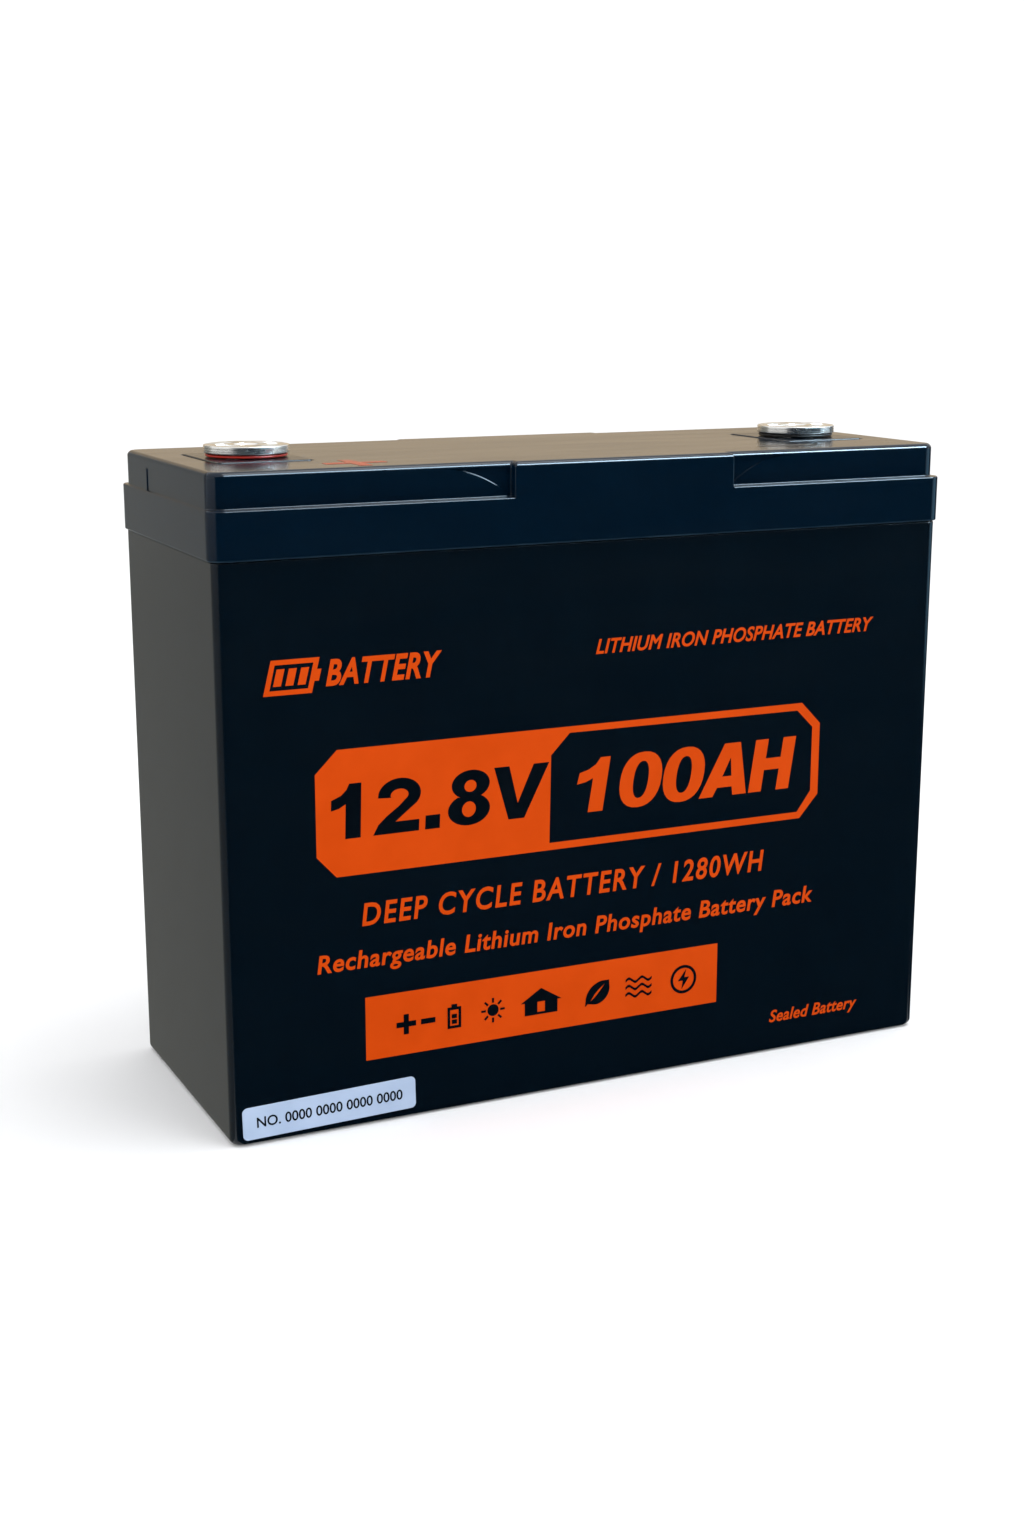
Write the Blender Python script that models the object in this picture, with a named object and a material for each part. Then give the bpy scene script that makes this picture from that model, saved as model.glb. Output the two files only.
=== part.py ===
"""Sealed 12.8 V lithium iron phosphate battery pack: four upright cells in series with a protection
board under the lid of a two-piece moulded case. Metres, +Z up, front at -Y, origin under its middle."""

import math

import bmesh
import bpy

# ---- Driving dimensions -------------------------------------------------------------------------
GAP = 0.0003  # clearance between pieces that seat on or in each other

CASE_LENGTH = 0.260  # over the lid's skirt, along X
CASE_DEPTH = 0.100  # over the lid's skirt, along Y
CASE_HEIGHT = 0.210  # floor to the lid's top face

WALL = 0.0035  # container walls
FLOOR = 0.0035  # container floor
SKIRT_OVERHANG = 0.001  # how far the skirt stands proud of the container
SKIRT_WALL = 0.0022
SKIRT_HEIGHT = 0.015
LID_BLOCK_HEIGHT = 0.011  # raised block above the skirt's ledge
LID_PLATE = 0.003  # thickness of the lid's top and ledge
CONTAINER_CORNER = 0.0035
CONTAINER_FOOT_RADIUS = 0.0025
LID_CORNER = 0.005
LID_EDGE_RADIUS = 0.0018

GRIP_DEPTH = 0.003  # finger ledges along both long sides of the lid's block
GRIP_LEFT_LENGTH = 0.098
GRIP_RIGHT_LENGTH = 0.083
SCOOP_DEPTH = 0.0006  # shallow curved scoop at the inner end of each ledge
SCOOP_RADIUS = 0.037
END_RIB_WIDTH = 0.003
END_RIB_PROUD = 0.0005
END_RIB_HEIGHT = 0.007
END_RIB_FROM_MIDDLE = 0.0205

TERMINAL_FROM_END = 0.028  # terminal axis to the end of the case
TERMINAL_DIAMETER = 0.027
TERMINAL_DISC = 0.0026
TERMINAL_SHANK = 0.016
TERMINAL_BORE = 0.0068  # tapping size of the M8 bolt hole
TERMINAL_BORE_DEPTH = 0.009
TERMINAL_GROOVE = 0.0005
GASKET_DIAMETER = 0.026
GASKET_THICKNESS = 0.0008
SEAT_LENGTH = 0.031
SEAT_DEPTH = 0.038
SEAT_CORNER = 0.0015
SEAT_PROUD = 0.0003
SEAT_POCKET = 0.001
LOCK_NUT_ACROSS_FLATS = 0.024
LOCK_NUT_THICKNESS = 0.005

HEADROOM = 0.030  # cell tops to the lid's ceiling
BASE_PAD = 0.002
CELL_SIDE_CLEARANCE = 0.0015
CELL_CORNER = 0.003
END_PAD = 0.0045
SEPARATOR = 0.001
STRAPPING_THICKNESS = 0.0006
STRAPPING_WIDTH = 0.016
STRAPPING_LOW = 0.030  # centre of the lower band above the cells' feet
STRAPPING_HIGH = 0.035  # centre of the upper band below the cells' tops
CELL_COUNT = 4

POST_INSET = 0.014  # post axis to the cell's front or back face
POST_COLLAR = 0.016
POST_COLLAR_HEIGHT = 0.002
STUD_DIAMETER = 0.006  # M6
STUD_HEIGHT = 0.012
BAR_THICKNESS = 0.002
BAR_WIDTH = 0.020
FLANGE_NUT_ACROSS_FLATS = 0.010
FLANGE_NUT_DIAMETER = 0.014
FLANGE_NUT_FLANGE = 0.0012
FLANGE_NUT_THICKNESS = 0.006

TRAY_DROP = 0.014  # tray underside above the cell tops
TRAY_THICKNESS = 0.002
TRAY_LEFT = -0.046
TRAY_RIGHT = 0.062
TRAY_TO_NUTS = 0.001  # seen from above, between the tray and the post nuts
TRAY_LEG = 0.008
BOARD_THICKNESS = 0.0016
BOARD_INSET = 0.001
BOARD_SCREW_XS = (-0.040, 0.044)
BOARD_SCREW_INSET = 0.006  # screw axis to the tray's long side
BOARD_SCREW = 0.003  # M3
BOARD_SCREW_HEAD = 0.0055
BOARD_SCREW_HEAD_HEIGHT = 0.002
BOARD_SCREW_REACH = 0.006  # into the tray's leg
HEAT_SINK_LEFT = -0.026
HEAT_SINK_RIGHT = 0.036
HEAT_SINK_INSET = 0.004  # from the tray's long sides
HEAT_SINK_BASE = 0.002
HEAT_SINK_HEIGHT = 0.0065
HEAT_SINK_FINS = 7
HEAT_SINK_FIN = 0.0018
CONNECTOR_FROM_SCREW = 0.0035  # near side of the connector to the screws' axes
CONNECTOR_LENGTH = 0.008
CONNECTOR_DEPTH = 0.012
CONNECTOR_HEIGHT = 0.006
PIN_PITCH = 0.0025
WIRE_DIAMETER = 0.0016
STRAP_ON_BOARD = 0.050  # where both negative straps start on the board
STRAP_SCREW = 0.006  # M6, from below into the terminal
STRAP_SCREW_HEAD = 0.011
STRAP_SCREW_HEAD_HEIGHT = 0.0035
STRAP_SCREW_REACH = 0.005

LABEL_LENGTH = 0.0584
LABEL_HEIGHT = 0.0108
LABEL_THICKNESS = 0.0002
LABEL_CORNER = 0.0017
LABEL_FROM_LEFT = 0.0335  # label centre to the left end of the case
LABEL_RISE = 0.0082  # label centre above the floor
LABEL_TILT = math.radians(1.2)

CORNER_STEPS = 4
EDGE_STEPS = 3
ROUND = 32  # sides of a large turned piece
SMALL_ROUND = 16
NUT_SIDES = 12  # points round a small nut: each corner and each flat's middle

# ---- Sizes that follow --------------------------------------------------------------------------
HALF_LENGTH = CASE_LENGTH / 2
HALF_DEPTH = CASE_DEPTH / 2
BODY_HALF_LENGTH = HALF_LENGTH - SKIRT_OVERHANG
BODY_HALF_DEPTH = HALF_DEPTH - SKIRT_OVERHANG
LEDGE_Z = CASE_HEIGHT - LID_BLOCK_HEIGHT
SKIRT_Z = LEDGE_Z - SKIRT_HEIGHT
CEILING_Z = CASE_HEIGHT - LID_PLATE
TONGUE_HALF_LENGTH = HALF_LENGTH - SKIRT_WALL - GAP
TONGUE_HALF_DEPTH = HALF_DEPTH - SKIRT_WALL - GAP
TONGUE_TOP_Z = LEDGE_Z - LID_PLATE - GAP
INNER_HALF_LENGTH = BODY_HALF_LENGTH - WALL
INNER_HALF_DEPTH = BODY_HALF_DEPTH - WALL
GRIP_LEFT_X = -HALF_LENGTH + GRIP_LEFT_LENGTH
GRIP_RIGHT_X = HALF_LENGTH - GRIP_RIGHT_LENGTH

CELL_FOOT_Z = FLOOR + GAP + BASE_PAD + GAP
CELL_TOP_Z = CEILING_Z - HEADROOM
CELL_DEPTH = 2 * (INNER_HALF_DEPTH - CELL_SIDE_CLEARANCE)
BAND_SPACE = STRAPPING_THICKNESS + 2 * GAP
CELL_PITCH = (2 * (INNER_HALF_LENGTH - GAP - END_PAD - BAND_SPACE) + SEPARATOR + 2 * GAP) / CELL_COUNT
CELL_LENGTH = CELL_PITCH - SEPARATOR - 2 * GAP
CELL_XS = [(i - (CELL_COUNT - 1) / 2) * CELL_PITCH for i in range(CELL_COUNT)]
STACK_HALF_LENGTH = CELL_XS[-1] + CELL_LENGTH / 2

POST_FROM_MIDDLE = CELL_DEPTH / 2 - POST_INSET

TERMINAL_X = HALF_LENGTH - TERMINAL_FROM_END
SEAT_TOP_Z = CASE_HEIGHT + SEAT_PROUD
GASKET_Z = SEAT_TOP_Z + GAP
DISC_Z = GASKET_Z + GASKET_THICKNESS + GAP
TERMINAL_TOP_Z = DISC_Z + TERMINAL_DISC
LOCK_NUT_TOP_Z = CEILING_Z - GAP

POST_BAR_Z = CELL_TOP_Z + POST_COLLAR_HEIGHT + GAP
NUT_Z = POST_BAR_Z + BAR_THICKNESS + GAP
TRAY_DEPTH = 2 * (POST_FROM_MIDDLE - FLANGE_NUT_DIAMETER / 2 - TRAY_TO_NUTS)
BOARD_SCREW_Y = TRAY_DEPTH / 2 - BOARD_SCREW_INSET
CONNECTOR_LEFT = BOARD_SCREW_XS[0] + CONNECTOR_FROM_SCREW
TRAY_Z = CELL_TOP_Z + TRAY_DROP
BOARD_Z = TRAY_Z + TRAY_THICKNESS + GAP
BOARD_TOP_Z = BOARD_Z + BOARD_THICKNESS
STRAP_Z = BOARD_TOP_Z + GAP
SHANK_FOOT_Z = STRAP_Z + BAR_THICKNESS + GAP
STUD_HOLE = STUD_DIAMETER + 2 * GAP


# ---- Materials ----------------------------------------------------------------------------------
def material(name, colour, roughness, metallic=0.0):
    made = bpy.data.materials.new(name)
    made.use_nodes = True
    shader = made.node_tree.nodes["Principled BSDF"]
    shader.inputs["Base Color"].default_value = (*colour, 1.0)
    shader.inputs["Roughness"].default_value = roughness
    shader.inputs["Metallic"].default_value = metallic
    made.diffuse_color = (*colour, 1.0)
    return made


for old in list(bpy.data.objects):
    bpy.data.objects.remove(old, do_unlink=True)

CASE_ABS = material("case_abs", (0.006, 0.010, 0.017), 0.30)
SEAT_ABS = material("seat_abs", (0.012, 0.013, 0.014), 0.45)
PLATED_BRASS = material("plated_brass", (0.74, 0.73, 0.70), 0.22, 1.0)
RED_RUBBER = material("red_rubber", (0.62, 0.03, 0.02), 0.50)
BLACK_RUBBER = material("black_rubber", (0.012, 0.012, 0.012), 0.60)
STEEL = material("zinc_steel", (0.62, 0.63, 0.65), 0.30, 1.0)
COPPER = material("plated_copper", (0.80, 0.77, 0.72), 0.28, 1.0)
CELL_WRAP = material("cell_wrap", (0.03, 0.16, 0.42), 0.35)
FOAM = material("foam", (0.035, 0.035, 0.038), 0.90)
GLASS_EPOXY = material("glass_epoxy", (0.44, 0.50, 0.26), 0.45)
TRAY_ABS = material("tray_abs", (0.05, 0.05, 0.055), 0.50)
CIRCUIT_BOARD = material("circuit_board", (0.01, 0.13, 0.05), 0.35)
ALUMINIUM = material("aluminium", (0.72, 0.73, 0.75), 0.35, 1.0)
WHITE_NYLON = material("white_nylon", (0.80, 0.79, 0.74), 0.40)
WIRE_SILICONE = material("wire_silicone", (0.45, 0.03, 0.02), 0.45)
STRAPPING_TAPE = material("strapping_tape", (0.62, 0.58, 0.44), 0.55)
LABEL_FILM = material("label_film", (0.62, 0.68, 0.76), 0.35)

battery_pack = bpy.data.objects.new("battery_pack", None)
bpy.context.scene.collection.objects.link(battery_pack)


# ---- Shape tools --------------------------------------------------------------------------------
def add_object(name, mesh_or_curve, finish):
    """Links one sub-part and hangs it on the pack's empty."""
    made = bpy.data.objects.new(name, mesh_or_curve)
    made.data.materials.append(finish)
    made.parent = battery_pack
    bpy.context.scene.collection.objects.link(made)
    return made


def finish_mesh(name, shape, finish):
    bmesh.ops.recalc_face_normals(shape, faces=shape.faces[:])
    mesh = bpy.data.meshes.new(name)
    shape.to_mesh(mesh)
    shape.free()
    mesh.shade_smooth()
    mesh.set_sharp_from_angle(angle=math.radians(30))
    return add_object(name, mesh, finish)


def rounded_rectangle(half_x, half_y, radius, steps=CORNER_STEPS):
    """Outline of a rectangle with round corners, anticlockwise from the front right."""
    points = []
    for quarter, (side_x, side_y) in enumerate(((1, -1), (1, 1), (-1, 1), (-1, -1))):
        for step in range(steps + 1):
            angle = math.radians(90 * (quarter - 1 + step / steps))
            x = side_x * (half_x - radius) + radius * math.cos(angle)
            y = side_y * (half_y - radius) + radius * math.sin(angle)
            points.append((x, y))
    return points


def circle(radius, sides):
    return [
        (radius * math.cos(2 * math.pi * i / sides), radius * math.sin(2 * math.pi * i / sides))
        for i in range(sides)
    ]


def hexagon(across_flats, sides):
    """A hexagon drawn with as many points as the circle that it joins."""
    points = []
    for i in range(sides):
        angle = 2 * math.pi * i / sides
        from_flat = (angle + math.pi / 6) % (math.pi / 3) - math.pi / 6
        reach = across_flats / 2 / math.cos(math.pi / 6 - abs(from_flat))
        points.append((reach * math.cos(angle), reach * math.sin(angle)))
    return points


def loft(rings, closed=False):
    """Skins rings of (outline, z). An open loft has both ends capped; a closed one returns to its start."""
    shape = bmesh.new()
    rows = [[shape.verts.new((x, y, z)) for x, y in outline] for outline, z in rings]
    pairs = list(zip(rows, rows[1:]))
    if closed:
        pairs.append((rows[-1], rows[0]))
    for low, high in pairs:
        for i in range(len(low)):
            j = (i + 1) % len(low)
            shape.faces.new((low[i], low[j], high[j], high[i]))
    if not closed:
        shape.faces.new(rows[0][::-1])
        shape.faces.new(rows[-1])
    return shape


def moved(outline, dx, dy):
    return [(x + dx, y + dy) for x, y in outline]


def turned(profile, sides):
    """Turns a profile of (radius, z) round Z. It starts and ends on the axis, or runs round a ring."""
    shape = bmesh.new()
    rows = []
    for radius, z in profile:
        if radius == 0:
            rows.append([shape.verts.new((0, 0, z))])
        else:
            rows.append([shape.verts.new((x, y, z)) for x, y in circle(radius, sides)])
    pairs = list(zip(rows, rows[1:]))
    if profile[0][0] > 0:
        pairs.append((rows[-1], rows[0]))
    for low, high in pairs:
        for i in range(sides):
            j = (i + 1) % sides
            if len(low) == 1:
                shape.faces.new((low[0], high[i], high[j]))
            elif len(high) == 1:
                shape.faces.new((low[i], low[j], high[0]))
            else:
                shape.faces.new((low[i], low[j], high[j], high[i]))
    return shape


def add_block(shape, x0, x1, y0, y1, z0, z1):
    """Adds a closed rectangular block to the shape."""
    corners = [shape.verts.new((x, y, z)) for z in (z0, z1) for y in (y0, y1) for x in (x0, x1)]
    for face in ((0, 2, 3, 1), (4, 5, 7, 6), (0, 1, 5, 4), (2, 6, 7, 3), (0, 4, 6, 2), (1, 3, 7, 5)):
        shape.faces.new([corners[i] for i in face])
    return shape


def extruded(outline, axis, start, end):
    """Extrudes an outline from start to end along X, Y or Z. The outline gives the other two, in order."""
    shape = bmesh.new()
    rows = []
    for along in (start, end):
        row = []
        for a, b in outline:
            place = {"X": (along, a, b), "Y": (a, along, b), "Z": (a, b, along)}[axis]
            row.append(shape.verts.new(place))
        rows.append(row)
    for i in range(len(outline)):
        j = (i + 1) % len(outline)
        shape.faces.new((rows[0][i], rows[0][j], rows[1][j], rows[1][i]))
    shape.faces.new(rows[0][::-1])
    shape.faces.new(rows[1])
    return shape


def helper(name, shape):
    """A body that only cuts or joins another: it is never rendered."""
    made = finish_mesh(name, shape, TRAY_ABS)
    made.hide_render = True
    made.display_type = "WIRE"
    return made


def combine(target, name, shape, operation):
    modifier = target.modifiers.new(name, "BOOLEAN")
    modifier.object = helper(name, shape)
    modifier.operation = operation
    modifier.solver = "EXACT"


def cut(target, name, shape):
    combine(target, name, shape, "DIFFERENCE")


def join(target, name, shape):
    combine(target, name, shape, "UNION")


def cut_holes(target, centres, diameter, z0, z1, sides=SMALL_ROUND):
    """Drills the target along Z from z0 to z1 at each centre."""
    drills = bmesh.new()
    for x, y in centres:
        rows = []
        for z in (z0, z1):
            rows.append([drills.verts.new((x + a, y + b, z)) for a, b in circle(diameter / 2, sides)])
        for i in range(sides):
            j = (i + 1) % sides
            drills.faces.new((rows[0][i], rows[0][j], rows[1][j], rows[1][i]))
        drills.faces.new(rows[0][::-1])
        drills.faces.new(rows[1])
    cut(target, target.name + "_drill", drills)


# ---- Container ----------------------------------------------------------------------------------
def container_ring(inset, z, corner):
    return rounded_rectangle(BODY_HALF_LENGTH - inset, BODY_HALF_DEPTH - inset, corner), z


def make_container():
    rings = []
    for step in range(EDGE_STEPS + 1):
        angle = math.radians(90 * step / EDGE_STEPS)
        inset = CONTAINER_FOOT_RADIUS * (1 - math.sin(angle))
        z = CONTAINER_FOOT_RADIUS * (1 - math.cos(angle))
        rings.append(container_ring(inset, z, CONTAINER_CORNER))
    rings.append(container_ring(0, SKIRT_Z - GAP, CONTAINER_CORNER))
    tongue = rounded_rectangle(TONGUE_HALF_LENGTH, TONGUE_HALF_DEPTH, CONTAINER_CORNER)
    rings.append((tongue, SKIRT_Z - GAP))
    rings.append((tongue, TONGUE_TOP_Z))
    rings.append(container_ring(WALL, TONGUE_TOP_Z, CONTAINER_CORNER / 2))
    rings.append(container_ring(WALL, FLOOR, CONTAINER_CORNER / 2))
    return finish_mesh("case_container", loft(rings), CASE_ABS)


# ---- Lid ----------------------------------------------------------------------------------------
def block_outline(inset):
    """Plan of the raised block: its full-depth middle lies between the finger ledges of each side."""
    half_x = HALF_LENGTH - SKIRT_OVERHANG - inset
    narrow = HALF_DEPTH - GRIP_DEPTH - inset
    wide = HALF_DEPTH - inset
    left = GRIP_LEFT_X + inset
    right = GRIP_RIGHT_X - inset
    corners = rounded_rectangle(half_x, narrow, LID_CORNER - inset)
    quarter = CORNER_STEPS + 1
    front = [(left, -narrow), (left, -wide), (right, -wide), (right, -narrow)]
    back = [(x, -y) for x, y in reversed(front)]
    return corners[: 2 * quarter] + back + corners[2 * quarter :] + front


def scoop_outline(inner_x, outward):
    """Side view of a scoop: an arc from the ledge's inner corner up to a tangent under the top edge."""
    top = CASE_HEIGHT - LID_EDGE_RADIUS
    drop = top - LEDGE_Z
    reach = math.sqrt(SCOOP_RADIUS**2 - (SCOOP_RADIUS - drop) ** 2)
    sweep = math.asin(reach / SCOOP_RADIUS)
    steps = 8
    arc = []
    for step in range(steps + 1):
        angle = sweep * (1 - step / steps)
        x = inner_x + outward * (reach - SCOOP_RADIUS * math.sin(angle))
        arc.append((x, top - SCOOP_RADIUS * (1 - math.cos(angle))))
    return arc + [(inner_x, top)]


def make_lid():
    skirt = rounded_rectangle(HALF_LENGTH, HALF_DEPTH, LID_CORNER)
    lid = finish_mesh("case_lid", loft([(skirt, SKIRT_Z), (skirt, LEDGE_Z)]), CASE_ABS)

    block = [(block_outline(0), LEDGE_Z - LID_PLATE / 2)]
    for step in range(EDGE_STEPS + 1):
        angle = math.radians(90 * step / EDGE_STEPS)
        inset = LID_EDGE_RADIUS * (1 - math.cos(angle))
        z = CASE_HEIGHT - LID_EDGE_RADIUS * (1 - math.sin(angle))
        block.append((block_outline(inset), z))
    join(lid, "lid_block", loft(block))

    ribs = bmesh.new()
    for side in (-1, 1):
        outer = side * (BODY_HALF_LENGTH + END_RIB_PROUD)
        inner = side * (BODY_HALF_LENGTH - END_RIB_PROUD)
        y = END_RIB_FROM_MIDDLE - END_RIB_WIDTH / 2
        span = sorted((inner, outer))
        low = LEDGE_Z - END_RIB_PROUD
        add_block(ribs, span[0], span[1], y, y + END_RIB_WIDTH, low, LEDGE_Z + END_RIB_HEIGHT)
    join(lid, "lid_end_ribs", ribs)

    skirt_inside = rounded_rectangle(HALF_LENGTH - SKIRT_WALL, HALF_DEPTH - SKIRT_WALL, CONTAINER_CORNER)
    block_inside = rounded_rectangle(
        BODY_HALF_LENGTH - LID_PLATE, HALF_DEPTH - GRIP_DEPTH - LID_PLATE, CONTAINER_CORNER
    )
    ledge_inside = LEDGE_Z - LID_PLATE
    rings = [(skirt_inside, SKIRT_Z - LID_PLATE), (skirt_inside, ledge_inside)]
    rings += [(block_inside, ledge_inside), (block_inside, CEILING_Z)]
    cut(lid, "lid_cavity", loft(rings))

    for end, inner_x, outward in (("left", GRIP_LEFT_X, -1), ("right", GRIP_RIGHT_X, 1)):
        for face, side in (("front", -1), ("back", 1)):
            wall = side * (HALF_DEPTH - GRIP_DEPTH)
            depth = sorted((wall - side * SCOOP_DEPTH, wall + side * SCOOP_DEPTH))
            cut(lid, f"scoop_{end}_{face}", extruded(scoop_outline(inner_x, outward), "Y", *depth))

    pocket = rounded_rectangle(SEAT_LENGTH / 2 + GAP, SEAT_DEPTH / 2 + GAP, SEAT_CORNER + GAP, 2)
    for end, x in (("positive", -TERMINAL_X), ("negative", TERMINAL_X)):
        rings = [(moved(pocket, x, 0), z) for z in (CASE_HEIGHT - SEAT_POCKET, CASE_HEIGHT + SEAT_POCKET)]
        cut(lid, f"{end}_seat_pocket", loft(rings))
    centres = [(-TERMINAL_X, 0), (TERMINAL_X, 0)]
    cut_holes(lid, centres, TERMINAL_SHANK + 2 * GAP, CEILING_Z - LID_PLATE, CASE_HEIGHT, ROUND)
    return lid


# ---- Terminals ----------------------------------------------------------------------------------
def make_seat(name, x):
    outline = rounded_rectangle(SEAT_LENGTH / 2, SEAT_DEPTH / 2, SEAT_CORNER, 2)
    shape = loft([(outline, CASE_HEIGHT - SEAT_POCKET + GAP), (outline, SEAT_TOP_Z)])
    seat = finish_mesh(name, shape, SEAT_ABS)
    seat.location.x = x
    bpy.context.view_layer.update()
    hole = TERMINAL_SHANK + 2 * GAP
    cut_holes(seat, [(x, 0)], hole, CASE_HEIGHT - 2 * SEAT_POCKET, SEAT_TOP_Z + SEAT_POCKET, ROUND)


def make_gasket(name, x, finish):
    bore = TERMINAL_SHANK / 2 + GAP
    outer = GASKET_DIAMETER / 2
    top = GASKET_Z + GASKET_THICKNESS
    profile = [(bore, GASKET_Z), (outer, GASKET_Z), (outer, top), (bore, top)]
    finish_mesh(name, turned(profile, ROUND), finish).location.x = x


def make_terminal(name, x):
    """A turned disc with a bolt hole in its top, and a shank that passes through the lid."""
    bore = TERMINAL_BORE / 2
    outer = TERMINAL_DIAMETER / 2
    shank = TERMINAL_SHANK / 2
    chamfer = TERMINAL_BORE / 8
    waist = outer - TERMINAL_GROOVE
    screw = STRAP_SCREW / 2 + GAP
    screw_top = SHANK_FOOT_Z + STRAP_SCREW_REACH + GAP
    groove_top = DISC_Z + TERMINAL_DISC / 2
    groove_foot = groove_top - TERMINAL_GROOVE
    profile = [
        (0, TERMINAL_TOP_Z - TERMINAL_BORE_DEPTH),
        (bore, TERMINAL_TOP_Z - TERMINAL_BORE_DEPTH),
        (bore, TERMINAL_TOP_Z - chamfer),
        (bore + chamfer, TERMINAL_TOP_Z),
        (waist, TERMINAL_TOP_Z),
        (outer, TERMINAL_TOP_Z - TERMINAL_GROOVE),
        (outer, groove_top),
        (waist, groove_top),
        (waist, groove_foot),
        (outer, groove_foot),
        (outer, DISC_Z),
        (shank, DISC_Z),
        (shank, SHANK_FOOT_Z),
        (screw, SHANK_FOOT_Z),
        (screw, screw_top),
        (0, screw_top),
    ]
    finish_mesh(name, turned(profile, ROUND), PLATED_BRASS).location.x = x


def make_nut(name, x, y, base_z, thickness, across_flats, bore, sides, flange=None):
    """A hexagon nut standing on base_z. A flange is (diameter, thickness)."""
    hole = circle(bore / 2, sides)
    hex_ring = hexagon(across_flats, sides)
    rings = [(hole, base_z)]
    if flange:
        disc = circle(flange[0] / 2, sides)
        rings += [(disc, base_z), (disc, base_z + flange[1]), (hex_ring, base_z + 1.5 * flange[1])]
    else:
        rings.append((hex_ring, base_z))
    rings += [(hex_ring, base_z + thickness), (hole, base_z + thickness)]
    nut = finish_mesh(name, loft(rings, closed=True), STEEL)
    nut.location.x = x
    nut.location.y = y


def make_screw(name, x, y, head_z, points_up, diameter, head, head_height, reach, finish=STEEL):
    """A pan-head screw whose head bears at head_z and whose shank goes up or down from there."""
    way = 1 if points_up else -1
    profile = [
        (0, head_z - way * head_height),
        (head / 2 * 0.8, head_z - way * head_height),
        (head / 2, head_z - way * head_height * 0.5),
        (head / 2, head_z),
        (diameter / 2, head_z),
        (diameter / 2, head_z + way * reach),
        (0, head_z + way * reach),
    ]
    screw = finish_mesh(name, turned(profile, SMALL_ROUND), finish)
    screw.location.x = x
    screw.location.y = y


# ---- Cells and what holds them ------------------------------------------------------------------
def make_cell(name, x):
    """An aluminium can in its sleeve with two threaded posts on top."""
    outline = rounded_rectangle(CELL_LENGTH / 2, CELL_DEPTH / 2, CELL_CORNER, 2)
    can = finish_mesh(name, loft([(outline, CELL_FOOT_Z), (outline, CELL_TOP_Z)]), CELL_WRAP)
    can.location.x = x
    bpy.context.view_layer.update()
    collar = POST_COLLAR / 2
    stud = STUD_DIAMETER / 2
    sunk = CELL_TOP_Z - POST_COLLAR_HEIGHT
    profile = [
        (0, sunk),
        (collar, sunk),
        (collar, CELL_TOP_Z + POST_COLLAR_HEIGHT),
        (stud, CELL_TOP_Z + POST_COLLAR_HEIGHT),
        (stud, CELL_TOP_Z + STUD_HEIGHT),
        (0, CELL_TOP_Z + STUD_HEIGHT),
    ]
    for end, y in (("front", -POST_FROM_MIDDLE), ("back", POST_FROM_MIDDLE)):
        shape = turned(profile, SMALL_ROUND)
        bmesh.ops.translate(shape, verts=shape.verts[:], vec=(x, y, 0))
        join(can, f"{name}_{end}_post", shape)


def make_strapping(name, centre_z):
    """A band of glass tape round the four cells."""
    inner = rounded_rectangle(STACK_HALF_LENGTH + GAP, CELL_DEPTH / 2 + GAP, CELL_CORNER + GAP)
    reach = GAP + STRAPPING_THICKNESS
    outer = rounded_rectangle(
        STACK_HALF_LENGTH + reach, CELL_DEPTH / 2 + reach, CELL_CORNER + reach
    )
    low = centre_z - STRAPPING_WIDTH / 2
    high = centre_z + STRAPPING_WIDTH / 2
    band = loft([(inner, low), (outer, low), (outer, high), (inner, high)], True)
    finish_mesh(name, band, STRAPPING_TAPE)


def make_cell_stack():
    for i, x in enumerate(CELL_XS):
        make_cell(f"cell_{i + 1}", x)
    for i, (x, after) in enumerate(zip(CELL_XS, CELL_XS[1:])):
        middle = (x + after) / 2
        block = (middle - SEPARATOR / 2, middle + SEPARATOR / 2, -CELL_DEPTH / 2, CELL_DEPTH / 2)
        shape = add_block(bmesh.new(), *block, CELL_FOOT_Z, CELL_TOP_Z)
        finish_mesh(f"separator_{i + 1}_{i + 2}", shape, GLASS_EPOXY)
    pad_inner = STACK_HALF_LENGTH + BAND_SPACE
    pad_outer = pad_inner + END_PAD
    for name, x0, x1 in (
        ("left_end_pad", -pad_outer, -pad_inner),
        ("right_end_pad", pad_inner, pad_outer),
    ):
        shape = add_block(bmesh.new(), x0, x1, -CELL_DEPTH / 2, CELL_DEPTH / 2, CELL_FOOT_Z, CELL_TOP_Z)
        finish_mesh(name, shape, FOAM)
    outline = rounded_rectangle(INNER_HALF_LENGTH - GAP, INNER_HALF_DEPTH - GAP, CONTAINER_CORNER / 2)
    base = loft([(outline, FLOOR + GAP), (outline, FLOOR + GAP + BASE_PAD)])
    finish_mesh("base_pad", base, FOAM)
    make_strapping("lower_strapping", CELL_FOOT_Z + STRAPPING_LOW)
    make_strapping("upper_strapping", CELL_TOP_Z - STRAPPING_HIGH)


# ---- Busbars and straps -------------------------------------------------------------------------
def make_busbars():
    """Bars join each cell to the next, at the back and the front in turn."""
    for i, (x, after) in enumerate(zip(CELL_XS, CELL_XS[1:])):
        y = POST_FROM_MIDDLE if i % 2 == 0 else -POST_FROM_MIDDLE
        half_length = (after - x + BAR_WIDTH) / 2
        outline = rounded_rectangle(half_length, BAR_WIDTH / 2, BAR_WIDTH / 4)
        outline = moved(outline, (x + after) / 2, y)
        shape = loft([(outline, POST_BAR_Z), (outline, POST_BAR_Z + BAR_THICKNESS)])
        bar = finish_mesh(f"busbar_{i + 1}_{i + 2}", shape, COPPER)
        cut_holes(bar, [(x, y), (after, y)], STUD_HOLE, CELL_TOP_Z, NUT_Z)


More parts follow.
